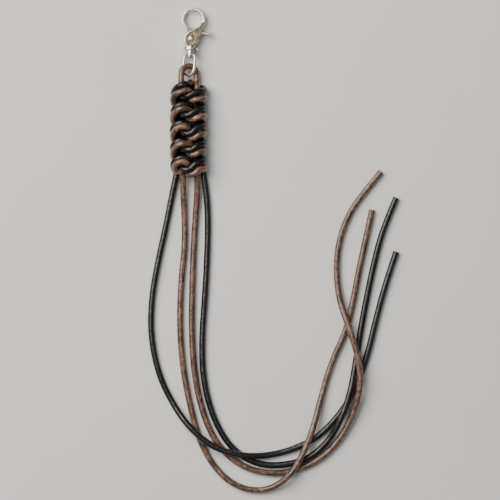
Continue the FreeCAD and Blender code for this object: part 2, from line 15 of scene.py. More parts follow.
import bmesh
import bpy
import numpy as np
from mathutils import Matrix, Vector


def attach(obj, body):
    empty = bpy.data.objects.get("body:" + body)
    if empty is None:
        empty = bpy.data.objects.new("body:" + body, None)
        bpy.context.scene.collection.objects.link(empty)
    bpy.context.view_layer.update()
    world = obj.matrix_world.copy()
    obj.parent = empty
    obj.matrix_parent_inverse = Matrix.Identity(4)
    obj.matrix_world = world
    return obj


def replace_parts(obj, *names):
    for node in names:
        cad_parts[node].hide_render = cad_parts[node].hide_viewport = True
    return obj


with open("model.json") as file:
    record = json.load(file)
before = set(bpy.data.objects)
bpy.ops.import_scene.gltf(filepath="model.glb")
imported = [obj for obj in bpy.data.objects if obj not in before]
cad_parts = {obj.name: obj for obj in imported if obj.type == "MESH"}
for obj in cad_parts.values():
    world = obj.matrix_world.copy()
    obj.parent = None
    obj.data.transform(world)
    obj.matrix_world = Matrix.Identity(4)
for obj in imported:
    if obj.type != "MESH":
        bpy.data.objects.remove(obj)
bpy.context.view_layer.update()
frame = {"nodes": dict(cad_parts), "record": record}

log = logging.getLogger("key_fob")
Array = np.ndarray

METRE = 1000.0

CORD_DIAMETER = 3.0
CORD_RADIUS = CORD_DIAMETER / 2
CORD_SIDES = 32
UP_KNOT = np.array([0.0, 1.0, 0.0])

# The attribute that says where a point lies on its cord laid out straight, along the third axis.
STRAIGHTENED = "straightened"

# Waves of a cord's radius: share of the radius, radians per millimetre, waves round the cord, and phase.
SWELLS = ((0.006, 0.9, 2, 0.0), (0.005, 0.37, 0, 1.0), (0.004, 2.3, -3, 0.0))

# Each ring of a cut end: its share of the radius, and how far it stands out of the cord.
CUT_RINGS = (
    (0.965, 0.07), (0.90, 0.12), (0.72, 0.13), (0.54, 0.12), (0.36, 0.14), (0.18, 0.13), (0.0, 0.13),
)

# How far the fibres ruffle a cut end.
CUT_RUFFLE = 0.035

# The Mix node's sockets for colours and for numbers, which share their names.
MIX_FACTOR, MIX_A, MIX_B, MIX_RESULT = 0, 6, 7, 2
MIX_NUMBER_A, MIX_NUMBER_B = 2, 3

# Points of a mesh nearer than this, in metres, are one.
SAME_PLACE = 1e-7


# ---------------------------------------------------------------- nodes and colours


def linear(code: str) -> tuple[float, float, float, float]:
    """Turn an sRGB hex colour into linear values.

    A channel c is c / 12.92 up to 0.04045, and ((c + 0.055) / 1.055) to the power 2.4 above it.

    Args:
        code: Six hex digits.

    Returns:
        Red, green, blue and an alpha of 1.
    """
    channels = [int(code[start:start + 2], 16) / 255 for start in (0, 2, 4)]
    knee, low, power, offset = 0.04045, 12.92, 2.4, 0.055
    return (*(c / low if c <= knee else ((c + offset) / (1 + offset)) ** power for c in channels), 1.0)


def add_node(
    tree: bpy.types.NodeTree, kind: str, inputs: dict | None = None, **settings: object
) -> bpy.types.Node:
    """Add one node with its settings, values and links.

    Args:
        tree: The node tree that takes it.
        kind: The node's type name.
        inputs: Input name or number, to a socket that is linked or a value that is set.
        settings: The node's own settings.

    Returns:
        The node.
    """
    node = tree.nodes.new(kind)
    for name, value in settings.items():
        setattr(node, name, value)
    for key, value in (inputs or {}).items():
        if isinstance(value, bpy.types.NodeSocket):
            tree.links.new(value, node.inputs[key])
        else:
            node.inputs[key].default_value = value
    return node


def per_metre(size: float) -> float:
    """A texture's scale for features of this size in millimetres."""
    return METRE / size


def put_in_scene(name: str, data: bpy.types.ID) -> bpy.types.Object:
    """Add an object to the scene.

    Args:
        name: Its name.
        data: Its mesh, curve, light or camera.

    Returns:
        The object, at the origin.
    """
    made = bpy.data.objects.new(name, data)
    bpy.context.scene.collection.objects.link(made)
    return made


# ---------------------------------------------------------------- finishes


@dataclass(frozen=True)
class Finish:
    """A real material and how its surface was made.

    Attributes:
        name: What it is called.
    """

    name: str

    def material(self) -> bpy.types.Material:
        """Make the finish as a node material, or find it if it is made.

        Returns:
            The material.
        """
        known = bpy.data.materials.get(self.name)
        if known is not None:
            return known
        made = bpy.data.materials.new(self.name)
        made.use_nodes = True
        made.node_tree.nodes.clear()
        shader = self.shade(made.node_tree)
        add_node(made.node_tree, "ShaderNodeOutputMaterial", {"Surface": shader.outputs[0]})
        return made

    def shade(self, tree: bpy.types.NodeTree) -> bpy.types.Node:
        """Add the finish's own nodes and return its shader."""
        raise NotImplementedError


@dataclass(frozen=True)
class PlatedCasting(Finish):
    """Bright nickel on polished cast zinc.

    It mirrors softly: the casting's waves bend the reflection, fine polishing lines blur it a little, and
    the plating is duller where it is handled. It is painted darker in the corners: painted shade, mixed
    with polish left there. Cheeks that were left as cast are rougher and pitted, and their plating has
    aged to a patchy yellowish brown.

    Attributes:
        metal: The plating's colour.
        grime_and_shade_colour: Its colour in the corners: painted shade, and polish left there.
        yellowed: Its colour on the cheeks.
        browned: Its colour in their darker patches.
        shine: Lowest and highest roughness.
        cast_roughness: The roughness of the cheeks.
        wave: Height of the casting's waves.
        wave_size: Width of one wave.
        line_depth: Depth of the polishing lines.
        line_size: Width of one polishing line.
        pit_depth: Depth of the pits in the cheeks.
        smudge_size: Width of one smudge.
        cheeks: The direction out of the cheeks, or zero if there are none.
        middle: Place of the middle plane along it.
        cheek_height: The cheeks' distance from the middle plane.
        cheek_reach: How far off that height still counts as a cheek.
        cheek_facing: How squarely a face looks out where a cheek begins and where it is full, as cosines.
    """

    metal: str = "D6D1C7"
    grime_and_shade_colour: str = "8E867A"
    yellowed: str = "8A8265"
    browned: str = "4F4A36"
    shine: tuple[float, float] = (0.17, 0.38)
    cast_roughness: float = 0.46
    wave: float = 0.010
    wave_size: float = 3.0
    line_depth: float = 0.002
    line_size: float = 0.25
    pit_depth: float = 0.12
    smudge_size: float = 1.6
    cheeks: tuple[float, float, float] = (0.0, 0.0, 0.0)
    middle: float = 0.0
    cheek_height: float = 2.6
    cheek_reach: float = 0.12
    cheek_facing: tuple[float, float] = (0.93, 0.98)

    def as_cast(self, tree: bpy.types.NodeTree) -> bpy.types.NodeSocket:
        """Tell whether a point is on a cheek.

        Args:
            tree: The material's tree.

        Returns:
            A number that is 1 where the point lies at a cheek's height and faces out of it, and else 0.
        """
        add = partial(add_node, tree)
        own = add("ShaderNodeTexCoord").outputs
        facing = add("ShaderNodeVectorMath", {0: own["Normal"], 1: self.cheeks}, operation="DOT_PRODUCT")
        depth = add("ShaderNodeVectorMath", {0: own["Object"], 1: self.cheeks}, operation="DOT_PRODUCT")
        metres = depth.outputs["Value"]
        signed = add("ShaderNodeMath", {0: metres, 1: METRE, 2: -self.middle}, operation="MULTIPLY_ADD")
        away = add("ShaderNodeMath", {0: signed.outputs[0]}, operation="ABSOLUTE")
        heights = {0: away.outputs[0], 1: self.cheek_height, 2: self.cheek_reach}
        level = add("ShaderNodeMath", heights, operation="COMPARE")
        square = add("ShaderNodeMath", {0: facing.outputs["Value"]}, operation="ABSOLUTE")
        begin, full = self.cheek_facing
        flat = add("ShaderNodeMapRange", {"Value": square.outputs[0], "From Min": begin, "From Max": full})
        both = add("ShaderNodeMath", {0: level.outputs[0], 1: flat.outputs[0]}, operation="MULTIPLY")
        return both.outputs[0]

    def shade(self, tree: bpy.types.NodeTree) -> bpy.types.Node:
        """Add the plating's nodes.

        Args:
            tree: The material's tree.

        Returns:
            The shader.
        """
        add = partial(add_node, tree)
        place = add("ShaderNodeTexCoord").outputs["Object"]
        cheek = self.as_cast(tree)
        smudges = add(
            "ShaderNodeTexNoise",
            {"Vector": place, "Scale": per_metre(self.smudge_size), "Detail": 5.0, "Roughness": 0.65},
        ).outputs[0]
        # Painted shade: the plating takes the corner colour where pointiness is low, patchily with the
        # smudges.
        corners = add(
            "ShaderNodeMapRange",
            {
                "Value": add("ShaderNodeNewGeometry").outputs["Pointiness"],
                "From Min": 0.40,
                "From Max": 0.49,
                "To Min": 1.0,
                "To Max": 0.0,
            },
        )
        grime_and_shade_mask = add("ShaderNodeMath", {0: corners.outputs[0], 1: smudges}, operation="MULTIPLY")
        colour = add(
            "ShaderNodeMix",
            {MIX_FACTOR: grime_and_shade_mask.outputs[0], MIX_A: linear(self.metal), MIX_B: linear(self.grime_and_shade_colour)},
            data_type="RGBA",
        )
        blotches = add("ShaderNodeMapRange", {"Value": smudges, "From Min": 0.42, "From Max": 0.64})
        patina = add(
            "ShaderNodeMix",
            {MIX_FACTOR: blotches.outputs[0], MIX_A: linear(self.yellowed), MIX_B: linear(self.browned)},
            data_type="RGBA",
        )
        aged = add(
            "ShaderNodeMix",
            {MIX_FACTOR: cheek, MIX_A: colour.outputs[MIX_RESULT], MIX_B: patina.outputs[MIX_RESULT]},
            data_type="RGBA",
        )
        low, high = self.shine
        polished = add(
            "ShaderNodeMapRange",
            {"Value": smudges, "From Min": 0.35, "From Max": 0.75, "To Min": low, "To Max": high},
        )
        rough = add(
            "ShaderNodeMix",
            {MIX_FACTOR: cheek, MIX_NUMBER_A: polished.outputs[0], MIX_NUMBER_B: self.cast_roughness},
        )
        waves = add(
            "ShaderNodeTexNoise", {"Vector": place, "Scale": per_metre(self.wave_size), "Detail": 1.0}
        )
        waved = add(
            "ShaderNodeBump", {"Height": waves.outputs[0], "Strength": 1.0, "Distance": self.wave / METRE}
        )
        # The polishing lines are long one way and lie askew to the piece.
        along = add(
            "ShaderNodeMapping", {"Vector": place, "Scale": (1.0, 0.12, 1.0), "Rotation": (0.2, 0.0, 0.7)}
        )
        lines = add(
            "ShaderNodeTexNoise",
            {"Vector": along.outputs[0], "Scale": per_metre(self.line_size), "Detail": 2.0},
        )
        lined = add(
            "ShaderNodeBump",
            {
                "Height": lines.outputs[0],
                "Strength": 0.5,
                "Distance": self.line_depth / METRE,
                "Normal": waved.outputs[0],
            },
        )
        pits = add("ShaderNodeMath", {0: smudges, 1: cheek}, operation="MULTIPLY")
        pitted = add(
            "ShaderNodeBump",
            {
                "Height": pits.outputs[0],
                "Strength": 1.0,
                "Distance": self.pit_depth / METRE,
                "Normal": lined.outputs[0],
            },
        )
        return add(
            "ShaderNodeBsdfPrincipled",
            {
                "Base Color": aged.outputs[MIX_RESULT],
                "Metallic": 1.0,
                "Roughness": rough.outputs[0],
                "Normal": pitted.outputs[0],
            },
        )


@dataclass(frozen=True)
class PeenedSteel(Finish):
    """Nickelled steel rivet, its head struck flat: small round dents, and a satin shine.

    Attributes:
        metal: The steel's colour.
        worn: Its colour where grit has scratched it.
        grit_size: Width of one scratch.
        dent_size: Width of one dent.
        dent_depth: Its depth.
        roughness: The shader's roughness.
    """

    metal: str = "C9C6BE"
    worn: str = "96928A"
    grit_size: float = 0.2
    dent_size: float = 0.9
    dent_depth: float = 0.03
    roughness: float = 0.27

    def shade(self, tree: bpy.types.NodeTree) -> bpy.types.Node:
        """Add the rivet's nodes.

        Args:
            tree: The material's tree.

        Returns:
            The shader.
        """
        add = partial(add_node, tree)
        place = add("ShaderNodeTexCoord").outputs["Object"]
        dents = add(
            "ShaderNodeTexVoronoi",
            {"Vector": place, "Scale": per_metre(self.dent_size)},
            feature="SMOOTH_F1",
        )
        grit = add("ShaderNodeTexNoise", {"Vector": place, "Scale": per_metre(self.grit_size), "Detail": 3.0})
        tone = add(
            "ShaderNodeMix",
            {MIX_FACTOR: grit.outputs[0], MIX_A: linear(self.metal), MIX_B: linear(self.worn)},
            data_type="RGBA",
        )
        dented = add(
            "ShaderNodeBump",
            {"Height": dents.outputs[0], "Strength": 0.6, "Distance": self.dent_depth / METRE},
        )
        return add(
            "ShaderNodeBsdfPrincipled",
            {
                "Base Color": tone.outputs[MIX_RESULT],
                "Metallic": 1.0,
                "Roughness": self.roughness,
                "Normal": dented.outputs[0],
            },
        )


@dataclass(frozen=True)
class DrawnWire(Finish):
    """Hard-drawn spring wire: grey, with fine lines left by the die.

    Attributes:
        metal: The wire's colour.
        line_size: Width of one line.
        shine: Lowest and highest roughness.
    """

    metal: str = "A3A39F"
    line_size: float = 0.12
    shine: tuple[float, float] = (0.22, 0.46)

    def shade(self, tree: bpy.types.NodeTree) -> bpy.types.Node:
        """Add the wire's nodes.

        Args:
            tree: The material's tree.

        Returns:
            The shader.
        """
        add = partial(add_node, tree)
        place = add("ShaderNodeTexCoord").outputs["Object"]
        size = per_metre(self.line_size)
        lines = add("ShaderNodeTexNoise", {"Vector": place, "Scale": size, "Detail": 2.0})
        low, high = self.shine
        rough = add("ShaderNodeMapRange", {"Value": lines.outputs[0], "To Min": low, "To Max": high})
        return add(
            "ShaderNodeBsdfPrincipled",
            {"Base Color": linear(self.metal), "Metallic": 1.0, "Roughness": rough.outputs[0]},
        )


@dataclass(frozen=True)
class WaxedLeather(Finish):
    """Round leather cord, dyed through and waxed.

    The dye is uneven in patches and along the fibre, and it settles darker between the pebbles of the
    grain. The grain is stretched along the cord, the cord creases across it, and the wax gives a soft,
    long highlight. The patterns read where a point lies on the cord laid out straight. Real grain is
    about half as wide as this, which is drawn coarser so that it shows.

    Attributes:
        dye: The main colour.
        deep: The colour between the pebbles and in dense patches.
        rubbed: The colour along fibres, where the dye has rubbed thin.
        roughness: Lowest and highest roughness.
        wax: Weight of the wax coat.
        patch_size: Width of one patch of dye.
        grain_size: Width of one pebble.
        grain_depth: Depth between the pebbles.
        fibre_size: Width of one fibre.
        fibre_depth: Depth between the fibres.
        crease_size: Distance between creases.
        crease_depth: Their depth.
    """

    dye: str = "745545"
    deep: str = "33221A"
    rubbed: str = "AA8A72"
    roughness: tuple[float, float] = (0.30, 0.46)
    wax: float = 0.6
    patch_size: float = 9.0
    grain_size: float = 0.9
    grain_depth: float = 0.16
    fibre_size: float = 0.5
    fibre_depth: float = 0.04
    crease_size: float = 1.5
    crease_depth: float = 0.10

    def shade(self, tree: bpy.types.NodeTree) -> bpy.types.Node:
        """Add the leather's nodes.

        Args:
            tree: The material's tree.

        Returns:
            The shader.
        """
        add = partial(add_node, tree)
        laid = add("ShaderNodeAttribute", attribute_name=STRAIGHTENED).outputs["Vector"]
        # Fibres are stretched far along the cord and pebbles a little, and creases run round it.
        drawn, pebble, hoop = (
            add("ShaderNodeMapping", {"Vector": laid, "Scale": scale}).outputs[0]
            for scale in ((1.0, 1.0, 0.14), (1.0, 1.0, 0.6), (0.35, 0.35, 1.0))
        )
        patches = add(
            "ShaderNodeTexNoise",
            {"Vector": laid, "Scale": per_metre(self.patch_size), "Detail": 4.0, "Roughness": 0.6},
        )
        fibres = add(
            "ShaderNodeTexNoise",
            {"Vector": drawn, "Scale": per_metre(self.fibre_size), "Detail": 4.0, "Roughness": 0.6},
        ).outputs[0]
        grain = add(
            "ShaderNodeTexVoronoi",
            {"Vector": pebble, "Scale": per_metre(self.grain_size)},
            feature="SMOOTH_F1",
        ).outputs[0]
        creases = add(
            "ShaderNodeTexNoise", {"Vector": hoop, "Scale": per_metre(self.crease_size), "Detail": 2.0}
        ).outputs[0]
        uneven = add(
            "ShaderNodeMapRange",
            {"Value": patches.outputs[0], "From Min": 0.35, "From Max": 0.68},
            interpolation_type="SMOOTHSTEP",
        )
        thin = add("ShaderNodeMapRange", {"Value": fibres, "From Min": 0.46, "From Max": 0.78})
        crevices = add("ShaderNodeMapRange", {"Value": grain, "From Min": 0.30, "From Max": 0.74})
        colour = linear(self.dye)
        for share, over in ((uneven, self.deep), (thin, self.rubbed), (crevices, self.deep)):
            layer = {MIX_FACTOR: share.outputs[0], MIX_A: colour, MIX_B: linear(over)}
            colour = add("ShaderNodeMix", layer, data_type="RGBA").outputs[MIX_RESULT]
        low, high = self.roughness
        rough = add("ShaderNodeMapRange", {"Value": fibres, "To Min": low, "To Max": high})
        relief = {}
        for height, strength, depth in (
            (creases, 0.8, self.crease_depth),
            (grain, 1.0, self.grain_depth),
            (fibres, 0.5, self.fibre_depth),
        ):
            bump = {"Height": height, "Strength": strength, "Distance": depth / METRE, **relief}
            relief = {"Normal": add("ShaderNodeBump", bump).outputs[0]}
        return add(
            "ShaderNodeBsdfPrincipled",
            {
                "Base Color": colour,
                "Roughness": rough.outputs[0],
                "IOR": 1.46,
                "Coat Weight": self.wax,
                "Coat Roughness": 0.20,
                **relief,
            },
        )


@dataclass(frozen=True)
class CutLeather(Finish):
    """The raw fibre of a cord's cut end: matt, loose and paler where the dye didn't reach.

    Attributes:
        core: Colour in the middle.
        rim: Colour at the dyed rim.
        core_radius: Where the dye begins.
        fibre_size: Width of one tuft of fibre.
        fibre_height: Its height.
    """

    core: str = "C79A6B"
    rim: str = "8A5D40"
    core_radius: float = 0.7
    fibre_size: float = 0.35
    fibre_height: float = 0.12

    def shade(self, tree: bpy.types.NodeTree) -> bpy.types.Node:
        """Add the cut end's nodes.

        Args:
            tree: The material's tree.

        Returns:
            The shader.
        """
        add = partial(add_node, tree)
        laid = add("ShaderNodeAttribute", attribute_name=STRAIGHTENED).outputs["Vector"]
        across = add("ShaderNodeVectorMath", {0: laid, 1: (1.0, 1.0, 0.0)}, operation="MULTIPLY")
        out = add("ShaderNodeVectorMath", {0: across.outputs[0]}, operation="LENGTH").outputs["Value"]
        begin, full = self.core_radius / METRE, CORD_RADIUS / METRE
        rim = add("ShaderNodeMapRange", {"Value": out, "From Min": begin, "From Max": full})
        size = per_metre(self.fibre_size)
        fibre = add("ShaderNodeTexNoise", {"Vector": laid, "Scale": size, "Detail": 5.0})
        spread = add("ShaderNodeMath", {0: rim.outputs[0], 1: fibre.outputs[0]}, operation="MULTIPLY")
        tone = add(
            "ShaderNodeMix",
            {MIX_FACTOR: spread.outputs[0], MIX_A: linear(self.core), MIX_B: linear(self.rim)},
            data_type="RGBA",
        )
        loose = add(
            "ShaderNodeBump",
            {"Height": fibre.outputs[0], "Strength": 0.9, "Distance": self.fibre_height / METRE},
        )
        return add(
            "ShaderNodeBsdfPrincipled",
            {"Base Color": tone.outputs[MIX_RESULT], "Roughness": 0.9, "Normal": loose.outputs[0]},
        )


@dataclass(frozen=True)
class PaintedBoard(Finish):
    """Matt painted board for the floor: pale, with a faint unevenness and no shine.

    Attributes:
        paint: Its colour.
        thin: Its colour where the paint is thinner.
        cloud_size: Width of one such place.
    """

    paint: str = "E6E5E2"
    thin: str = "E0DFDC"
    cloud_size: float = 60.0

    def shade(self, tree: bpy.types.NodeTree) -> bpy.types.Node:
        """Add the floor's nodes.

        Args:
            tree: The material's tree.

        Returns:
            The shader.
        """
        add = partial(add_node, tree)
        place = add("ShaderNodeTexCoord").outputs["Object"]
        size = per_metre(self.cloud_size)
        cloud = add("ShaderNodeTexNoise", {"Vector": place, "Scale": size, "Detail": 2.0})
        tone = add(
            "ShaderNodeMix",
            {MIX_FACTOR: cloud.outputs[0], MIX_A: linear(self.paint), MIX_B: linear(self.thin)},
            data_type="RGBA",
        )
        return add("ShaderNodeBsdfPrincipled", {"Base Color": tone.outputs[MIX_RESULT], "Roughness": 0.85})


class Dye(Enum):
    """The two cords' colours, each with its leather, its cut end and its material slot."""

    BROWN = "brown_leather"
    BLACK = "black_leather"

    @property
    def leather(self) -> WaxedLeather:
        """The cord's own surface.

        Returns:
            Its finish.
        """
        if self is Dye.BROWN:
            return WaxedLeather("waxed brown leather")
        colours = {"dye": "0F0F10", "deep": "070707", "rubbed": "191818"}
        return WaxedLeather("waxed black leather", **colours, roughness=(0.27, 0.40), wax=0.25)

    @property
    def cut(self) -> CutLeather:
        """The surface of a cut end.

        Returns:
            Its finish.
        """
        if self is Dye.BROWN:
            return CutLeather("cut brown leather")
        return CutLeather("cut black leather", core="35302C", rim="171615")


# ---------------------------------------------------------------- surfaces


def unit(vectors: Array) -> Array:
    """Each vector divided by its length, or by next to nothing where it has none."""
    smallest = 1e-12
    return vectors / np.maximum(np.linalg.norm(vectors, axis=-1, keepdims=True), smallest)


def headings(path: Array) -> Array:
    """The unit direction of travel at each point: the difference of its two neighbours, over its length."""
    return unit(np.gradient(path, axis=0))


def travelled(path: Array) -> Array:
    """The length from the start to each point: the running sum of the steps."""
    return np.concatenate([[0.0], np.cumsum(np.linalg.norm(np.diff(path, axis=0), axis=1))])


def evenly(path: Array, step: float) -> Array:
    """Points at equal steps along a path, each one linear between its two neighbours.

    Args:
        path: The points.
        step: The step that is wanted.

    Returns:
        The points, a whole number of steps from end to end, which is at least two steps.
    """
    length = travelled(path)
    stations = np.linspace(0.0, length[-1], max(round(float(length[-1]) / step), 2) + 1)
    return np.stack([np.interp(stations, length, path[:, axis]) for axis in range(3)], axis=1)


def rounded(path: Array, parts: int) -> Array:
    """A Catmull-Rom curve through every point.

    Between points b and c, with a before and d after, at t from 0 to 1, it is half of
    2b + (c - a)t + (2a - 5b + 4c - d)t^2 + (3b - a - 3c + d)t^3.

    Args:
        path: The points.
        parts: How many parts each step is cut into.

    Returns:
        The finer points.
    """
    ends = np.concatenate([[2 * path[0] - path[1]], path, [2 * path[-1] - path[-2]]])
    a, b, c, d = ends[:-3, None], ends[1:-2, None], ends[2:-1, None], ends[3:, None]
    t = (np.arange(parts) / parts)[None, :, None]
    curve = 2 * b + (c - a) * t + (2 * a - 5 * b + 4 * c - d) * t**2 + (3 * b - a - 3 * c + d) * t**3
    return np.concatenate([curve.reshape(-1, 3) / 2, path[-1:]])


def link(start: Array, start_heading: Array, end: Array, end_heading: Array, count: int = 30) -> Array:
    """A cubic Bezier from one heading to another, without its two ends.

    Its handles are as long as a share of the distance. The point at t is
    (1 - t)^3 A + 3(1 - t)^2 t B + 3(1 - t)t^2 C + t^3 D.

    Args:
        start: Where it leaves.
        start_heading: Its direction there.
        end: Where it arrives.
        end_heading: Its direction there.
        count: How many points it is worked out at.

    Returns:
        The points between the ends.
    """
    share = 0.4
    reach = share * float(np.linalg.norm(end - start))
    b, c = start + start_heading * reach, end - end_heading * reach
    t = np.linspace(0.0, 1.0, count)[1:-1, None]
    return (1 - t) ** 3 * start + 3 * (1 - t) ** 2 * t * b + 3 * (1 - t) * t**2 * c + t**3 * end


def carried(directions: Array, first: Array) -> Array:
    """A sideways direction at each station that turns as little as it can along the path.

    Each is the one before, less its part along the new heading, over its length. The loop is over
    stations.

    Args:
        directions: Unit headings.
        first: The sideways direction at the first station, at least roughly.

    Returns:
        Unit directions, each square to its heading.
    """
    sides = np.empty_like(directions)
    side = first
    for station, heading in enumerate(directions):
        side = side - heading * float(side @ heading)
        side = side / float(np.linalg.norm(side))
        sides[station] = side
    return sides


def closed_mesh(
    name: str, rings: Array, finishes: list[Finish], laid: Array | None = None, cut_rows: int = 0
) -> bpy.types.Mesh:
    """A closed mesh of quads on a grid whose rows are rings, with its poles merged.

    The quad at row i and column j joins rows i and i + 1 and columns j and j + 1, the last column to the
    first.

    Args:
        name: The mesh's name.
        rings: Rows of points, the first and the last each a single place.
        finishes: Its finish, and the finish of its last rows if they have their own.
        laid: Where each point lies on its straightened cord.
        cut_rows: How many of the last rows have the second finish.

    Returns:
        The mesh.
    """
    rows, sides = rings.shape[:2]
    row, col = np.meshgrid(np.arange(rows - 1), np.arange(sides), indexing="ij")
    here, beyond = row * sides, (row + 1) * sides
    after = (col + 1) % sides
    quads = np.stack([here + col, here + after, beyond + after, beyond + col], axis=-1)
    mesh = bpy.data.meshes.new(name)
    mesh.from_pydata((rings.reshape(-1, 3) / METRE).tolist(), [], quads.reshape(-1, 4).tolist())
    if laid is not None:
        straight = mesh.attributes.new(STRAIGHTENED, "FLOAT_VECTOR", "POINT")
        straight.data.foreach_set("vector", (laid.reshape(-1, 3) / METRE).astype(np.float32).ravel())
    for finish in finishes:
        mesh.materials.append(finish.material())
    cut = row.ravel() >= rows - 1 - cut_rows
    mesh.polygons.foreach_set("material_index", cut.astype(np.int32))
    mesh.polygons.foreach_set("use_smooth", np.ones(row.size, bool))
    shape = bmesh.new()
    shape.from_mesh(mesh)
    bmesh.ops.remove_doubles(shape, verts=shape.verts, dist=SAME_PLACE)
    shape.to_mesh(mesh)
    shape.free()
    return mesh


@dataclass
class Tube:
    """A round cord as a grid of rings, one at each point of its path.

    The point at station s and angle a is path(s) + r (cos a * side(s) + sin a * (heading(s) x side(s))).
    The radius r swells and thins by about a hundredth, as the sum of sines of the length along the cord
    and a.

    Attributes:
        name: The piece's name.
        dye: Which cord it is.
        path: Its centreline.
        side: The sideways direction at the first point.
        offset: The length along the whole cord at the first point.
        way: 1 if the path runs along the cord, and -1 if it runs back.
        cut_end: Whether the last end is a cut that shows.
        rings: The rings, each a row of points.
        laid: Where each of those points lies on the cord laid out straight.
        sides: The sideways direction at each point of the path.
    """

    name: str
    dye: Dye
    path: Array
    side: Array = field(default_factory=lambda: np.array([0.0, 0.0, 1.0]))
    offset: float = 0.0
    way: int = 1
    cut_end: bool = False
    rings: Array = field(init=False)
    laid: Array = field(init=False)
    sides: Array = field(init=False)

    def __post_init__(self) -> None:
        """Work out the rings, and where each point lies on the cord laid out straight."""
        heading = headings(self.path)
        self.sides = carried(heading, self.side)
        across = np.cross(heading, self.sides)
        angle = np.linspace(0.0, 2 * np.pi, CORD_SIDES, endpoint=False)
        along = self.offset + self.way * travelled(self.path)
        a, s = angle[None, :] * self.way, along[:, None]
        swell = sum(share * np.sin(slow * s + waves * a + phase) for share, slow, waves, phase in SWELLS)
        radius = CORD_RADIUS * (1.0 + swell)
        cosine, sine = np.cos(angle)[None, :, None], np.sin(angle)[None, :, None]
        around = cosine * self.sides[:, None] + sine * across[:, None]
        self.rings = self.path[:, None] + radius[..., None] * around
        lengths = np.broadcast_to(s, radius.shape)
        self.laid = np.stack([radius * np.cos(a), radius * np.sin(a), lengths], axis=-1)

    def end_grid(self, last: bool) -> tuple[Array, Array]:
        """Rings that close one end.

        A hidden end is a flat disc of two rings. A cut end has a small worn edge, then rings that shrink to
        the middle. Inside the edge the fibres stand up by ruffle * share * sin(5 a + 9 share), with share the
        ring's share of the radius and a the angle.

        Args:
            last: Whether it is the path's last end.

        Returns:
            The rings and where they lie on the straightened cord, from the outside in.
        """
        index = -1 if last else 0
        ring, laid, centre = self.rings[index], self.laid[index], self.path[index]
        out = headings(self.path)[index] * (1 if last else -1)
        if last and self.cut_end:
            shares, steps = np.array(CUT_RINGS).T
            share, inside = shares[:, None], np.arange(len(shares))[:, None] > 0
            angle = np.linspace(0.0, 2 * np.pi, CORD_SIDES, endpoint=False)[None, :]
            rise = steps[:, None] + CUT_RUFFLE * share * np.sin(5 * angle + 9 * share) * inside
        else:
            shares = np.array([0.5, 0.0])
            rise = np.zeros((len(shares), CORD_SIDES))
        grid = centre + shares[:, None, None] * (ring - centre)[None] + rise[..., None] * out
        middle = laid * np.array([0.0, 0.0, 1.0])
        flat = middle + shares[:, None, None] * (laid - middle)[None]
        return grid, flat

    def grid(self) -> tuple[Array, Array, int]:
        """The whole surface as one closed grid.

        Returns:
            The rings, where they lie on the straightened cord, and how many of the last rows are the cut
            end.
        """
        head, head_laid = self.end_grid(False)
        tail, tail_laid = self.end_grid(True)
        rings = np.concatenate([head[::-1], self.rings, tail])
        laid = np.concatenate([head_laid[::-1], self.laid, tail_laid])
        return rings, laid, len(tail) - 1 if self.cut_end else 0

    def make(self) -> bpy.types.Object:
        """Make the piece.

        Returns:
            Its object, at the origin, with the finishes on it.
        """
        rings, laid, cut_rows = self.grid()
        mesh = closed_mesh(self.name, rings, [self.dye.leather, self.dye.cut], laid, cut_rows)
        piece = put_in_scene(self.name, mesh)
        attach(piece, "cords")
        log.info("%s: %d faces, %.1f mm long", self.name, len(mesh.polygons), travelled(self.path)[-1])
        return piece


def press(tubes: list[Tube], passes: int = 2) -> None:
    """Flatten cords where they press on each other.

    For two centreline points that are about a diameter apart or nearer, a vertex that is past the plane
    halfway between them goes back onto that plane, square to it. Of several such planes the deepest one
    counts. Points that follow each other closely along one cord don't press.

    Args:
        tubes: The cords, whose rings are changed.
        passes: How often it is done.
    """
    centres = np.concatenate([tube.path for tube in tubes])
    rings = np.concatenate([tube.rings for tube in tubes])
    ids = np.concatenate([np.full(len(tube.path), number) for number, tube in enumerate(tubes)])
    length = np.concatenate([tube.offset + tube.way * travelled(tube.path) for tube in tubes])
    cords = np.array([tube.dye is Dye.BROWN for tube in tubes])[ids]
    reach = 1.02 * CORD_DIAMETER
    near_self = 1.7 * CORD_DIAMETER
    gap = 0.01
    # Planes whose depths differ by less than this count as equally deep, and share the move.
    as_deep = 1e-9
    found = []
    for number in range(len(tubes)):
        own = np.flatnonzero(ids == number)
        apart = np.linalg.norm(centres[own, None] - centres[None], axis=2)
        same = (cords[own, None] == cords[None]) & (np.abs(length[own, None] - length[None]) < near_self)
        first, second = np.nonzero((apart < reach) & ~same)
        found.append(np.stack([own[first], second]))
    i, j = np.concatenate(found, axis=1)
    normal = unit(centres[j] - centres[i])
    middle = (centres[j] + centres[i]) / 2 - normal * gap
    for _ in range(passes):
        past = np.einsum("pkc,pc->pk", rings[i] - middle[:, None], normal)
        deepest = np.zeros(rings.shape[:2])
        np.maximum.at(deepest, i, past)
        counts = (past > 0) & (past >= deepest[i] - as_deep)
        moved = np.zeros_like(rings)
        np.add.at(moved, i, -(past * counts)[..., None] * normal[:, None])
        shared = np.zeros(rings.shape[:2])
        np.add.at(shared, i, counts.astype(float))
        rings = rings + moved / np.maximum(shared, 1.0)[..., None]
    start = 0
    for tube in tubes:
        tube.rings = rings[start:start + len(tube.path)]
        start += len(tube.path)


# ---------------------------------------------------------------- the knot


class Side(Enum):
    """The knot's two rows of turns, seen from above."""

    LEFT = -1
    RIGHT = 1


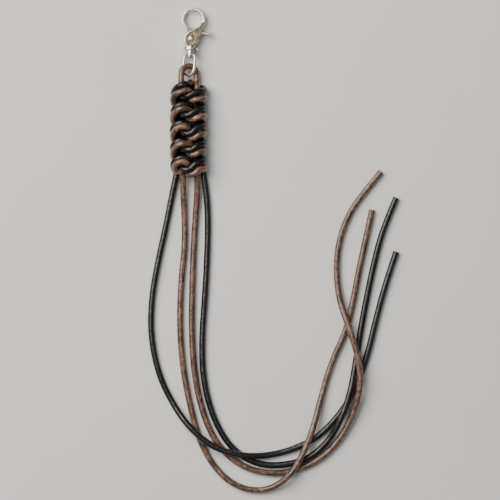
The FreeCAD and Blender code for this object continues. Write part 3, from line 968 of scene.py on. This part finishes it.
@dataclass
class Settling:
    """Cords drawn tight round each other, as lines of points that push each other a diameter apart.

    In each step a free point moves towards the middle of its two neighbours, which is the pull in the
    cord, and against the change of that pull along the cord, which is its stiffness. It also moves a
    little back to where the turn was laid. Then points that are nearer than a diameter push each other
    away, but for those that lie close to each other along one strand.

    Attributes:
        strands: The lines of points.
        held: For each line, which of its points don't move.
        thickness: How far apart the strands keep.
        stiffness: Share of the change of the pull.
        memory: Share of the way back to the first place.
        lowest: How low a centreline may lie.
        highest: How high it may lie.
        skipped: How many points along a strand two points must be apart to push each other.
        watch: How near two points must come to be watched, in thicknesses.
        renew: After how many steps the watched pairs are found again.
        pushes: How often points push each other in one step.
        give: Share of an overlap by which one push moves each point.
    """

    strands: list[Array]
    held: list[Array]
    thickness: float = 3.05
    stiffness: float = 0.1
    memory: float = 0.02
    lowest: float = CORD_RADIUS
    highest: float = 9.5
    skipped: int = 6
    watch: float = 1.8
    renew: int = 20
    pushes: int = 3
    give: float = 0.4

    def run(self, steps: int, pull: float) -> None:
        """Let the strands settle.

        Args:
            steps: How many steps.
            pull: Share of the way to the middle of the neighbours.
        """
        ids = np.concatenate([np.full(len(line), number) for number, line in enumerate(self.strands)])
        fixed = np.concatenate(self.held)
        laid = np.concatenate(self.strands)
        place = laid.copy()
        first, second = np.triu_indices(len(place), 1)
        apart = (ids[first] != ids[second]) | (second - first >= self.skipped)
        kept = apart & ~(fixed[first] & fixed[second])
        first, second = first[kept], second[kept]
        own = np.arange(len(place))
        inner = np.zeros(len(place), bool)
        inner[1:-1] = ids[:-2] == ids[2:]
        before = np.where(inner, own - 1, own)
        after = np.where(inner, own + 1, own)
        free = (~fixed).astype(float)[:, None]
        inside = inner[:, None]
        for step in range(steps):
            if step % self.renew == 0:
                near = np.linalg.norm(place[first] - place[second], axis=1) < self.thickness * self.watch
                i, j = first[near], second[near]
            drawn = (place[before] + place[after]) / 2 - place
            bent = np.where(inside, (drawn[before] + drawn[after]) / 2 - drawn, 0.0)
            back = self.memory * (laid - place)
            place = place + free * (pull * drawn * inside - self.stiffness * bent + back)
            for _ in range(self.pushes):
                place = self.part(place, i, j, free)
        ends = np.cumsum([len(line) for line in self.strands])[:-1]
        self.strands = np.split(place, ends)

    def part(self, place: Array, i: Array, j: Array, free: Array) -> Array:
        """Push apart the points that are too near.

        Args:
            place: All points.
            i: The first point of each pair that is watched.
            j: Its second point.
            free: 1 for a point that may move, else 0.

        Returns:
            The points, moved.
        """
        line = place[i] - place[j]
        distance = np.linalg.norm(line, axis=1)
        hit = distance < self.thickness
        push = (self.thickness - distance[hit])[:, None] * unit(line[hit])
        move = np.zeros_like(place)
        count = np.zeros(len(place))
        np.add.at(move, i[hit], push)
        np.add.at(move, j[hit], -push)
        np.add.at(count, i[hit], 1.0)
        np.add.at(count, j[hit], 1.0)
        place = place + self.give * free * move / np.maximum(count, 1.0)[:, None]
        height = np.clip(place[:, 2:], self.lowest, self.highest)
        place[:, 2:] = np.where(free > 0, height, place[:, 2:])
        return place


@dataclass(frozen=True)
class Row:
    """One cord's turns in one row, each turn a leaning oval.

    At u turns (a quarter at a turn's front) and a = 2 pi u, with b and c half the width and the height, x
    is the knot's axis plus the offset plus b cos a, the height is the middle plus c sin a, and the place
    along the knot is the front's, less one pitch for each turn, plus tilt cos a, plus lean (sin a - 1).

    Attributes:
        first: Where the turns begin, in turns.
        last: Where they end.
        front: Place of the first front along the knot.
        offset: The oval's middle, right of the knot's axis.
        wide: Half its width.
        middle: Height of its middle.
        high: Half its height.
        tilt: How far its right end is drawn up the knot.
        lean: How far its front is drawn up the knot.
        count: How many points the turns are worked out at.
    """

    first: float
    last: float
    front: float
    offset: float
    wide: float
    middle: float
    high: float
    tilt: float
    lean: float
    count: int = 600

    def points(self, axis_x: float, pitch: float) -> Array:
        """The turns before the knot is drawn tight.

        Args:
            axis_x: The knot's axis.
            pitch: Length of one turn along the knot.

        Returns:
            Points from the top to the bottom.
        """
        u = np.linspace(self.first, self.last, self.count)
        a = 2 * np.pi * u
        x = axis_x + self.offset + self.wide * np.cos(a)
        y = self.front + pitch * (0.25 - u) + self.tilt * np.cos(a) + self.lean * (np.sin(a) - 1)
        return np.stack([x, y, self.middle + self.high * np.sin(a)], axis=1)


@dataclass
class SquareKnot:
    """The long knot: the brown cord and the black cord side by side, each winding down in two rows of turns.

    Attributes:
        axis_x: The knot's axis.
        pitch: Length of one turn of each cord along the knot.
        loop_top: Middle of the loop's bend, where the eye hangs.
        loop_radius: The loop's bend.
        loop_turn: How far the loop is turned about the knot's length, in degrees.
        top: Where the knot begins.
        step: Distance between the points of a cord while it settles.
        held_ends: How many points of each free end hold still.
        leg_rises: How far above the knot's top the points are that stand for a leg of the loop.
        bight: Top of the black cord's bend over the knot.
        bight_heading: Its direction there.
        rounds: Steps and pull of each round in which the knot is drawn tight.
        parts: How many parts each step of a settled cord is cut into.
        rows: The turns of each cord in each row.
    """

    axis_x: float = -1.2
    pitch: float = 8.33
    loop_top: tuple[float, float, float] = (-1.2, 11.3, 4.62)
    loop_radius: float = 3.85
    loop_turn: float = 22.0
    top: float = 3.4
    step: float = 0.75
    held_ends: int = 9
    leg_rises: tuple[float, ...] = (0.75, 1.5, 2.25, 3.0, 4.0)
    bight: tuple[float, float, float] = (-1.1, 4.4, 5.2)
    bight_heading: tuple[float, float, float] = (0.0, -0.15, -1.0)
    rounds: tuple[tuple[int, float], ...] = ((200, 0.2), (200, 0.1))
    parts: int = 2
    rows: dict[tuple[Side, Dye], Row] = field(
        default_factory=lambda: {
            (Side.LEFT, Dye.BROWN): Row(
                first=-0.15, last=4.48, front=-0.38, offset=-3.2, wide=4.7,
                middle=5.5, high=4.2, tilt=-1.08, lean=2.62,
            ),
            (Side.LEFT, Dye.BLACK): Row(
                first=0.10, last=4.5, front=1.4, offset=-3.2, wide=4.7,
                middle=4.5, high=3.5, tilt=-1.08, lean=2.62,
            ),
            (Side.RIGHT, Dye.BROWN): Row(
                first=-0.05, last=4.5, front=-4.6, offset=3.4, wide=4.8,
                middle=5.5, high=4.2, tilt=-0.78, lean=0.8,
            ),
            (Side.RIGHT, Dye.BLACK): Row(
                first=-0.20, last=4.5, front=-1.0, offset=1.9, wide=6.3,
                middle=5.5, high=4.2, tilt=-0.78, lean=0.8,
            ),
        }
    )

    def turns(self, side: Side, dye: Dye) -> Array:
        """One cord's turns in one row, from its top to its bottom."""
        return self.rows[side, dye].points(self.axis_x, self.pitch)

    def across(self) -> Array:
        """The direction from the loop's left leg to its right one."""
        turn = math.radians(self.loop_turn)
        return np.array([math.cos(turn), 0.0, -math.sin(turn)])

    def leg(self, side: Side, y: float) -> Array:
        """A point on one of the loop's legs."""
        foot = np.array([self.loop_top[0], y, self.loop_top[2]])
        return foot + side.value * self.loop_radius * self.across()

    def loop(self) -> Array:
        """The loop over the eye, from its left leg to its right one.

        The legs are straight, and the bend is a half circle: centre + r (-cos a * across + sin a * up the
        knot).

        Returns:
            Its points, without the legs' feet.
        """
        centre = np.array(self.loop_top) - self.loop_radius * UP_KNOT
        count = round(math.pi * self.loop_radius / self.step)
        a = np.linspace(0.0, math.pi, count)[:, None]
        bend = centre + self.loop_radius * (-np.cos(a) * self.across() + np.sin(a) * UP_KNOT)
        rise = np.arange(self.top + self.step, centre[1] - self.step / 2, self.step)
        left = np.array([self.leg(Side.LEFT, y) for y in rise])
        right = np.array([self.leg(Side.RIGHT, y) for y in rise[::-1]])
        return np.concatenate([left, bend, right])

    def free_end(self, route: Array) -> tuple[Array, Array]:
        """Where a free end leaves the knot, and its direction there."""
        return route[0], unit(route[1] - route[0])

    def run_out(self, route: Array) -> Array:
        """The first few millimetres of a free end, at the knot's own steps."""
        start, heading = self.free_end(route)
        return start + heading * self.step * np.arange(self.held_ends)[:, None]

    def brown_half(self, side: Side, route: Array) -> Array:
        """The brown cord from the loop's leg down to one free end.

        Args:
            side: Which row.
            route: The free end's route.

        Returns:
            Its points.
        """
        row, foot = self.turns(side, Dye.BROWN), self.leg(side, self.top)
        start, heading = self.free_end(route)
        head = link(foot, -UP_KNOT, row[0], unit(row[1] - row[0]))
        tail = link(row[-1], unit(row[-1] - row[-2]), start, heading)
        return np.concatenate([foot[None], head, row, tail, self.run_out(route)])

    def black_whole(self, left_route: Array, right_route: Array) -> Array:
        """The black cord from its left free end, over the top of the knot, to its right one.

        Args:
            left_route: The left free end's route.
            right_route: The right one's.

        Returns:
            Its points.
        """
        left, right = self.turns(Side.LEFT, Dye.BLACK)[::-1], self.turns(Side.RIGHT, Dye.BLACK)
        bight, through = np.array(self.bight), unit(np.array(self.bight_heading))
        start, out = self.free_end(left_route)
        end, heading = self.free_end(right_route)
        return np.concatenate(
            [
                self.run_out(left_route)[::-1],
                link(start, -out, left[0], unit(left[1] - left[0])),
                left,
                link(left[-1], unit(left[-1] - left[-2]), bight, through),
                bight[None],
                link(bight, through, right[0], unit(right[1] - right[0])),
                right,
                link(right[-1], unit(right[-1] - right[-2]), end, heading),
                self.run_out(right_route),
            ]
        )

    def drawn_tight(self, routes: dict[str, Array]) -> tuple[Array, Array]:
        """Lay the knot and settle it.

        Args:
            routes: The free ends' routes by node.

        Returns:
            The brown cord from its left free end over the loop to its right one, and the black cord
            likewise.
        """
        lines = [
            evenly(self.brown_half(Side.LEFT, routes["brown_tail_left"]), self.step),
            evenly(self.brown_half(Side.RIGHT, routes["brown_tail_right"]), self.step),
            evenly(self.black_whole(routes["black_tail_left"], routes["black_tail_right"]), self.step),
        ]
        held = [np.zeros(len(line), bool) for line in lines]
        for flags in held:
            flags[-self.held_ends:] = True
        held[0][0] = held[1][0] = True
        held[2][:self.held_ends] = True
        for side in Side:
            leg = np.array([self.leg(side, self.top + rise) for rise in self.leg_rises])
            lines.append(leg)
            held.append(np.ones(len(leg), bool))
        knot = Settling(lines, held)
        for steps, pull in self.rounds:
            knot.run(steps, pull)
        spare = self.held_ends - 1
        left, right = knot.strands[0][:-spare], knot.strands[1][:-spare]
        black = knot.strands[2][spare:-spare]
        left[-1], right[-1] = routes["brown_tail_left"][0], routes["brown_tail_right"][0]
        black[0], black[-1] = routes["black_tail_left"][0], routes["black_tail_right"][0]
        brown = np.concatenate([left[::-1], self.loop(), right])
        return rounded(brown, self.parts), rounded(black, self.parts)


# ---------------------------------------------------------------- the free ends


@dataclass
class FreeEnd:
    """A loose end of cord from the knot to where it was cut.

    Attributes:
        node: The CAD node that it stands for.
        dye: Which cord it is part of.
        length: The cord's length from the knot to the cut, which is not used.
        route: The control points of its line.
        leads: Whether it is at the start of its cord's line through the knot.
        fineness: How many points its line has for each control point.
        step: Distance between its rings.
    """

    node: str
    dye: Dye
    length: float
    route: list[tuple[float, float, float]]
    leads: bool
    fineness: int = 40
    step: float = 0.5

    def line(self) -> Array:
        """The centreline: a NURBS spline of order 3 on the route's points, read back as points.

        Returns:
            Points in millimetres.
        """
        curve = bpy.data.curves.new(self.node + "_line", "CURVE")
        curve.dimensions = "3D"
        curve.resolution_u = self.fineness
        spline = curve.splines.new("NURBS")
        spline.points.add(len(self.route) - 1)
        points = np.column_stack([np.array(self.route) / METRE, np.ones(len(self.route))])
        spline.points.foreach_set("co", points.astype(np.float32).ravel())
        spline.order_u = 3
        spline.use_endpoint_u = True
        holder = put_in_scene(curve.name, curve)
        bpy.context.view_layer.update()
        read = bpy.data.meshes.new_from_object(holder)
        places = np.empty(len(read.vertices) * 3, np.float32)
        read.vertices.foreach_get("co", places)
        bpy.data.objects.remove(holder)
        bpy.data.meshes.remove(read)
        return places.reshape(-1, 3).astype(float) * METRE

    def tube(self, cord: Tube) -> Tube:
        """The free end as a tube that goes on from its cord.

        Args:
            cord: The part of the cord that is in the knot.

        Returns:
            The tube.
        """
        path = evenly(self.line(), self.step)
        side, offset, way = cord.sides[-1], float(travelled(cord.path)[-1]), 1
        if self.leads:
            side, offset, way = cord.sides[0], 0.0, -1
        return Tube(self.node + "_cord", self.dye, path, side, offset, way, cut_end=True)

    def declare(self, tube: Tube) -> None:
        """Make the tube's piece and hide the CAD node that it stands for.

        Args:
            tube: The tube, pressed where it meets others.
        """
        piece = tube.make()
        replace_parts(piece, self.node)


# The free ends as they lie: side by side from the knot, round a wide bend, and over each other near the cuts.
FREE_ENDS = [
    FreeEnd(
        "black_tail_left",
        Dye.BLACK,
        291.4,
        [
            (-6.9, -38.9, 1.89), (-8.8, -47.5, 1.59), (-12.1, -64.6, 1.5), (-16.0, -81.8, 1.5),
            (-19.0, -98.9, 1.5), (-19.5, -117.0, 1.5), (-15.5, -136.0, 1.5), (-8.3, -150.3, 1.5),
            (-0.7, -160.8, 5.0), (10.2, -169.9, 5.2), (24.5, -174.1, 5.1), (38.3, -173.7, 1.5),
            (51.2, -169.9, 1.5), (62.1, -163.7, 1.5), (71.7, -152.7, 1.5), (78.8, -140.8, 1.5),
            (84.0, -125.1, 1.5), (87.7, -109.4, 1.5), (92.1, -92.7, 1.5), (97.4, -77.0, 1.5),
        ],
        leads=True,
    ),
    FreeEnd(
        "brown_tail_left",
        Dye.BROWN,
        318.4,
        [
            (-4.0, -38.9, 4.59), (-4.0, -47.5, 3.21), (-3.3, -58.9, 1.5), (-3.1, -73.7, 1.5),
            (-4.9, -90.3, 1.5), (-5.7, -110.3, 1.5), (-4.3, -131.3, 1.5), (-0.5, -151.3, 1.5),
            (4.5, -168.9, 1.5), (12.6, -181.8, 1.5), (23.1, -189.6, 1.5), (35.5, -190.8, 1.5),
            (46.0, -184.6, 5.0), (52.6, -174.1, 5.2), (57.6, -161.8, 5.0), (61.7, -146.0, 1.5),
            (66.4, -129.9, 1.5), (73.6, -114.6, 1.5), (77.0, -99.9, 1.5), (79.8, -84.6, 1.5),
            (83.1, -70.3, 1.5), (85.9, -57.0, 1.5),
        ],
        leads=True,
    ),
    FreeEnd(
        "brown_tail_right",
        Dye.BROWN,
        337.0,
        [
            (2.9, -38.9, 4.89), (2.9, -47.0, 3.39), (2.0, -59.4, 1.5), (1.0, -76.0, 1.5),
            (0.3, -95.1, 1.5), (0.0, -116.5, 1.5), (1.6, -138.0, 1.5), (6.4, -157.5, 1.5),
            (14.0, -171.3, 1.5), (26.0, -180.4, 1.5), (41.2, -183.0, 1.5), (56.0, -179.1, 1.5),
            (67.9, -170.3, 1.5), (76.0, -157.0, 3.0), (80.5, -141.8, 5.6), (79.8, -128.4, 5.6),
            (75.0, -113.2, 5.4), (70.2, -99.9, 2.6), (68.7, -84.6, 1.5), (70.2, -71.3, 1.5),
            (75.0, -58.4, 1.5), (82.6, -48.0, 1.5), (90.2, -38.9, 1.5),
        ],
        leads=False,
    ),
    FreeEnd(
        "black_tail_right",
        Dye.BLACK,
        307.4,
        [
            (5.6, -38.9, 1.89), (7.0, -47.5, 1.71), (7.9, -59.9, 1.5), (7.6, -76.0, 1.5),
            (6.6, -96.0, 1.5), (4.9, -118.0, 1.5), (5.5, -137.5, 1.5), (10.2, -156.0, 1.5),
            (18.8, -170.6, 1.5), (31.2, -178.3, 1.5), (44.5, -178.5, 1.5), (56.9, -174.9, 1.5),
            (65.5, -166.5, 2.5), (70.7, -157.5, 5.1), (75.5, -144.1, 5.1), (78.0, -130.3, 1.5),
            (80.2, -115.6, 1.5), (83.1, -99.9, 1.5), (86.9, -81.8, 1.5), (91.2, -65.6, 1.5),
            (97.4, -51.3, 1.5),
        ],
        leads=False,
    ),
]


@dataclass
class Cords:
    """Both cords: the loop and the knot, and the four free ends.

    Attributes:
        knot: The knot.
        ends: The free ends.
        side: Roughly the sideways direction from which each cord's rings are counted where it begins.
    """

    knot: SquareKnot = field(default_factory=SquareKnot)
    ends: list[FreeEnd] = field(default_factory=lambda: FREE_ENDS)
    side: tuple[float, float, float] = (0.3, 0.1, 1.0)

    def build(self) -> None:
        """Make every piece of cord."""
        routes = {end.node: np.array(end.route) for end in self.ends}
        brown, black = self.knot.drawn_tight(routes)
        side = np.array(self.side)
        tied = {
            Dye.BROWN: Tube("brown_cord_in_knot", Dye.BROWN, brown, side),
            Dye.BLACK: Tube("black_cord_in_knot", Dye.BLACK, black, side),
        }
        loose = [end.tube(tied[end.dye]) for end in self.ends]
        press([*tied.values(), *loose])
        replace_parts(tied[Dye.BROWN].make(), "brown_loop", "brown_knot_turns")
        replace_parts(tied[Dye.BLACK].make(), "black_knot_turns")
        for end, tube in zip(self.ends, loose, strict=True):
            end.declare(tube)


# ---------------------------------------------------------------- the hook


@dataclass(frozen=True)
class HookPlane:
    """The hook's own directions: right across the ring, up from the flange to the ring, and out of its face.

    Attributes:
        centre: Middle of the ring.
        right: Across the ring, towards the thumb tab.
        up: From the gate's pivot to the ring's middle.
        out: Along the gate's pivot, away from the floor.
    """

    centre: Array
    right: Array
    up: Array
    out: Array

    @classmethod
    def from_record(cls, record: dict) -> "HookPlane":
        """Read the ring's place from the record's mount and the pivot's from the gate's joint.

        Args:
            record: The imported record.

        Returns:
            The plane.
        """
        mount = record["mounts"][0]
        gate = next(joint for joint in record["behaviour"]["joints"] if joint["name"] == "gate_open")
        centre, pivot = np.array(mount["pos_m"]) * METRE, np.array(gate["pos_m"]) * METRE
        out = unit(np.array(mount["axis"]))
        pivot = pivot + out * float((centre - pivot) @ out)
        up = unit(centre - pivot)
        return cls(centre, np.cross(up, out), up, out)

    def place(self, points: Array) -> Array:
        """Points given right, up and out of the ring's middle, in the fob's frame."""
        return self.centre + points @ np.stack([self.right, self.up, self.out])


@dataclass
class CastRim:
    """The raised rim of the casting: it leaves the ring's bar, crosses the cheek and follows its left edge.

    The point at station s and angle a is path(s) + t(s) (w cos a * across(s) + h sin a * out), where t
    falls to 0 at both ends as the root of 1 - (1 - q)^2, q being the distance to the end over the rim's
    taper.

    Attributes:
        route: Points right, up and out of the ring's middle.
        half_width: The w.
        half_height: The h.
        taper: Length over which an end is rounded off.
        sides: How many points a ring has.
        step: Distance between rings.
        parts: How many parts the curve has between two points of the route.
    """

    route: list[tuple[float, float, float]] = field(
        default_factory=lambda: [
            (4.95, 0.9, 0.55), (4.98, -0.4, 1.0), (4.8, -1.6, 1.5), (4.2, -2.75, 2.0), (3.2, -3.7, 2.4),
            (1.9, -4.5, 2.6), (0.6, -5.15, 2.62), (-0.7, -6.0, 2.62), (-1.95, -7.1, 2.62), (-2.8, -8.4, 2.62),
            (-3.05, -9.8, 2.62), (-2.65, -11.1, 2.62), (-1.7, -12.0, 2.55), (-0.4, -12.3, 2.4),
        ]
    )
    half_width: float = 0.56
    half_height: float = 0.5
    taper: float = 1.6
    sides: int = 20
    step: float = 0.12
    parts: int = 12

    def build(self, plane: HookPlane, finish: Finish) -> None:
        """Make the rim.

        Args:
            plane: The hook's directions.
            finish: Its metal.
        """
        path = plane.place(evenly(rounded(np.array(self.route), self.parts), self.step))
        across = unit(np.cross(headings(path), plane.out))
        length = travelled(path)
        to_end = np.minimum(length, length[-1] - length) / self.taper
        size = np.sqrt(1.0 - (1.0 - np.clip(to_end, 0.0, 1.0)) ** 2)[:, None, None]
        a = np.linspace(0.0, 2 * np.pi, self.sides, endpoint=False)[None, :, None]
        ring = self.half_width * np.cos(a) * across[:, None] + self.half_height * np.sin(a) * plane.out
        rings = (path[:, None] + size * ring)[:, ::-1]
        piece = put_in_scene("cast_rim", closed_mesh("cast_rim", rings, [finish]))
        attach(piece, "hook")
        log.info("cast_rim: %.1f mm long", length[-1])


@dataclass
class SnapHook:
    """The hook, its gate and its eye: the CAD solids, with smooth shading and their metal.

    Attributes:
        finishes: Each node's finish and material slot.
        crease: The angle, in degrees, above which an edge stays sharp.
        merge: How near two points of the loose triangles are when they are one.
    """

    finishes: dict[str, tuple[Finish, str]] = field(
        default_factory=lambda: {
            "hook_body": (PlatedCasting("bright nickel on cast zinc"), "plated_hook"),
            "gate_lever": (
                PlatedCasting("bright nickel on a cast gate", metal="DAD6CD", wave=0.008),
                "plated_gate",
            ),
            "swivel_eye": (PlatedCasting("bright nickel on a cast eye", wave=0.012), "plated_hook"),
            "gate_rivet": (PeenedSteel("peened nickelled steel"), "rivet_steel"),
            "swivel_rivet": (PeenedSteel("peened nickelled steel"), "rivet_steel"),
            "gate_spring": (DrawnWire("hard-drawn spring wire"), "spring_steel"),
        }
    )
    crease: float = 32.0
    merge: float = 0.002

    def smoothing(self) -> bpy.types.NodeTree:
        """Join loose triangles and shade them smooth, but for edges past the crease angle.

        Returns:
            The geometry node group that does it.
        """
        group = bpy.data.node_groups.new("joined_and_smooth", "GeometryNodeTree")
        for way in ("INPUT", "OUTPUT"):
            group.interface.new_socket("Geometry", in_out=way, socket_type="NodeSocketGeometry")
        add = partial(add_node, group)
        loose = add("NodeGroupInput").outputs[0]
        joined = add("GeometryNodeMergeByDistance", {"Geometry": loose, "Distance": self.merge / METRE})
        smooth = add("GeometryNodeSetShadeSmooth", {"Geometry": joined.outputs[0]})
        angle = add("GeometryNodeInputMeshEdgeAngle")
        sharp = add(
            "FunctionNodeCompare",
            {0: angle.outputs[0], 1: math.radians(self.crease)},
            data_type="FLOAT",
            operation="GREATER_THAN",
        )
        edges = add(
            "GeometryNodeSetShadeSmooth",
            {"Geometry": smooth.outputs[0], "Selection": sharp.outputs[0], "Shade Smooth": False},
            domain="EDGE",
        )
        add("NodeGroupOutput", {0: edges.outputs[0]})
        return group

    def build(self, nodes: dict[str, bpy.types.Object], record: dict) -> None:
        """Dress the metal nodes and add the rim.

        Args:
            nodes: The frame's nodes by name.
            record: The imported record.
        """
        group = self.smoothing()
        plane = HookPlane.from_record(record)
        polished, hook_slot = self.finishes["hook_body"]
        with_cheeks = PlatedCasting(
            "nickel on cast zinc, cheeks as cast",
            cheeks=tuple(plane.out.tolist()),
            middle=float(plane.centre @ plane.out),
        )
        for name, (finish, slot) in {**self.finishes, "hook_body": (with_cheeks, hook_slot)}.items():
            node = nodes[name]
            node.modifiers.new("joined_and_smooth", "NODES").node_group = group
            for own in node.material_slots:
                own.link = "OBJECT"
                own.material = finish.material()
            log.info("%s: %s", name, finish.name)
        CastRim().build(plane, polished)


# ---------------------------------------------------------------- the studio


@dataclass
class Studio:
    """A pale floor, soft light from the upper left, and a camera straight above.

    The air is dark near the horizon and pale overhead, as in a room with a white ceiling.

    Attributes:
        aim: The point under the camera.
        height: The camera's height.
        lens: Its focal length.
        floor_reach: How far the floor reaches from the middle.
        light_place: Where the light stands.
        light_aim: The point that it faces.
        light_size: Its side.
        light_power: Its power in watts.
        light_colour: Its colour.
        air_colours: The air's colours at the horizon and overhead.
        air_heights: The heights of a unit direction between which one turns to the other.
        air_strength: How bright it is.
    """

    aim: tuple[float, float] = (27.857, -76.05)
    height: float = 1984.0
    lens: float = 300.0
    floor_reach: float = 3000.0
    light_place: tuple[float, float, float] = (-520.0, 330.0, 850.0)
    light_aim: tuple[float, float, float] = (20.0, -60.0, 0.0)
    light_size: float = 860.0
    light_power: float = 18.0
    light_colour: str = "FFF9F2"
    air_colours: tuple[str, str] = ("2C2F34", "E2E5EA")
    air_heights: tuple[float, float] = (0.25, 0.95)
    air_strength: float = 0.6

    def floor(self) -> None:
        """Lay a wide floor under the fob."""
        mesh = bpy.data.meshes.new("floor")
        square = np.array([(-1, -1, 0), (1, -1, 0), (1, 1, 0), (-1, 1, 0)]) * self.floor_reach / METRE
        mesh.from_pydata(square.tolist(), [], [(0, 1, 2, 3)])
        mesh.materials.append(PaintedBoard("matt painted board").material())
        put_in_scene("floor", mesh)

    def light(self) -> None:
        """Add a square soft light that faces the fob."""
        lamp = bpy.data.lights.new("key_light", "AREA")
        lamp.size = self.light_size / METRE
        lamp.energy = self.light_power
        lamp.color = linear(self.light_colour)[:3]
        holder = put_in_scene("key_light", lamp)
        holder.location = Vector(self.light_place) / METRE
        towards = Vector(self.light_aim) / METRE - holder.location
        holder.rotation_euler = towards.to_track_quat("-Z", "Y").to_euler()

    def air(self) -> None:
        """Fill the scene with light that grows paler with the height of its direction."""
        world = bpy.data.worlds.new("soft_air")
        world.use_nodes = True
        world.node_tree.nodes.clear()
        add = partial(add_node, world.node_tree)
        ray = add("ShaderNodeTexCoord").outputs["Generated"]
        height = add("ShaderNodeSeparateXYZ", {0: ray}).outputs["Z"]
        low, high = self.air_heights
        share = add(
            "ShaderNodeMapRange",
            {"Value": height, "From Min": low, "From Max": high},
            interpolation_type="SMOOTHSTEP",
        )
        dark, pale = (linear(colour) for colour in self.air_colours)
        sky = add("ShaderNodeMix", {MIX_FACTOR: share.outputs[0], MIX_A: dark, MIX_B: pale}, data_type="RGBA")
        air = add("ShaderNodeBackground", {"Color": sky.outputs[MIX_RESULT], "Strength": self.air_strength})
        add("ShaderNodeOutputWorld", {0: air.outputs[0]})
        bpy.context.scene.world = world

    def camera(self) -> None:
        """Hang the camera over the fob."""
        camera = bpy.data.cameras.new("camera")
        camera.lens = self.lens
        holder = put_in_scene("camera", camera)
        holder.location = Vector((*self.aim, self.height)) / METRE
        bpy.context.scene.camera = holder

    def build(self) -> None:
        """Set up the floor, the light, the air and the camera."""
        self.floor()
        self.light()
        self.air()
        self.camera()


def corners(box: tuple[Vector, Vector]) -> Iterator[list[float]]:
    """A box's two corners as plain lists."""
    return ([float(value) for value in corner] for corner in box)


def main() -> None:
    """Build the studio, the cords and the hook."""
    logging.basicConfig(level=logging.INFO, format="%(name)s: %(message)s")
    Studio().build()
    Cords().build()
    SnapHook().build(frame["nodes"], frame["record"])


if __name__ == "__main__":
    main()
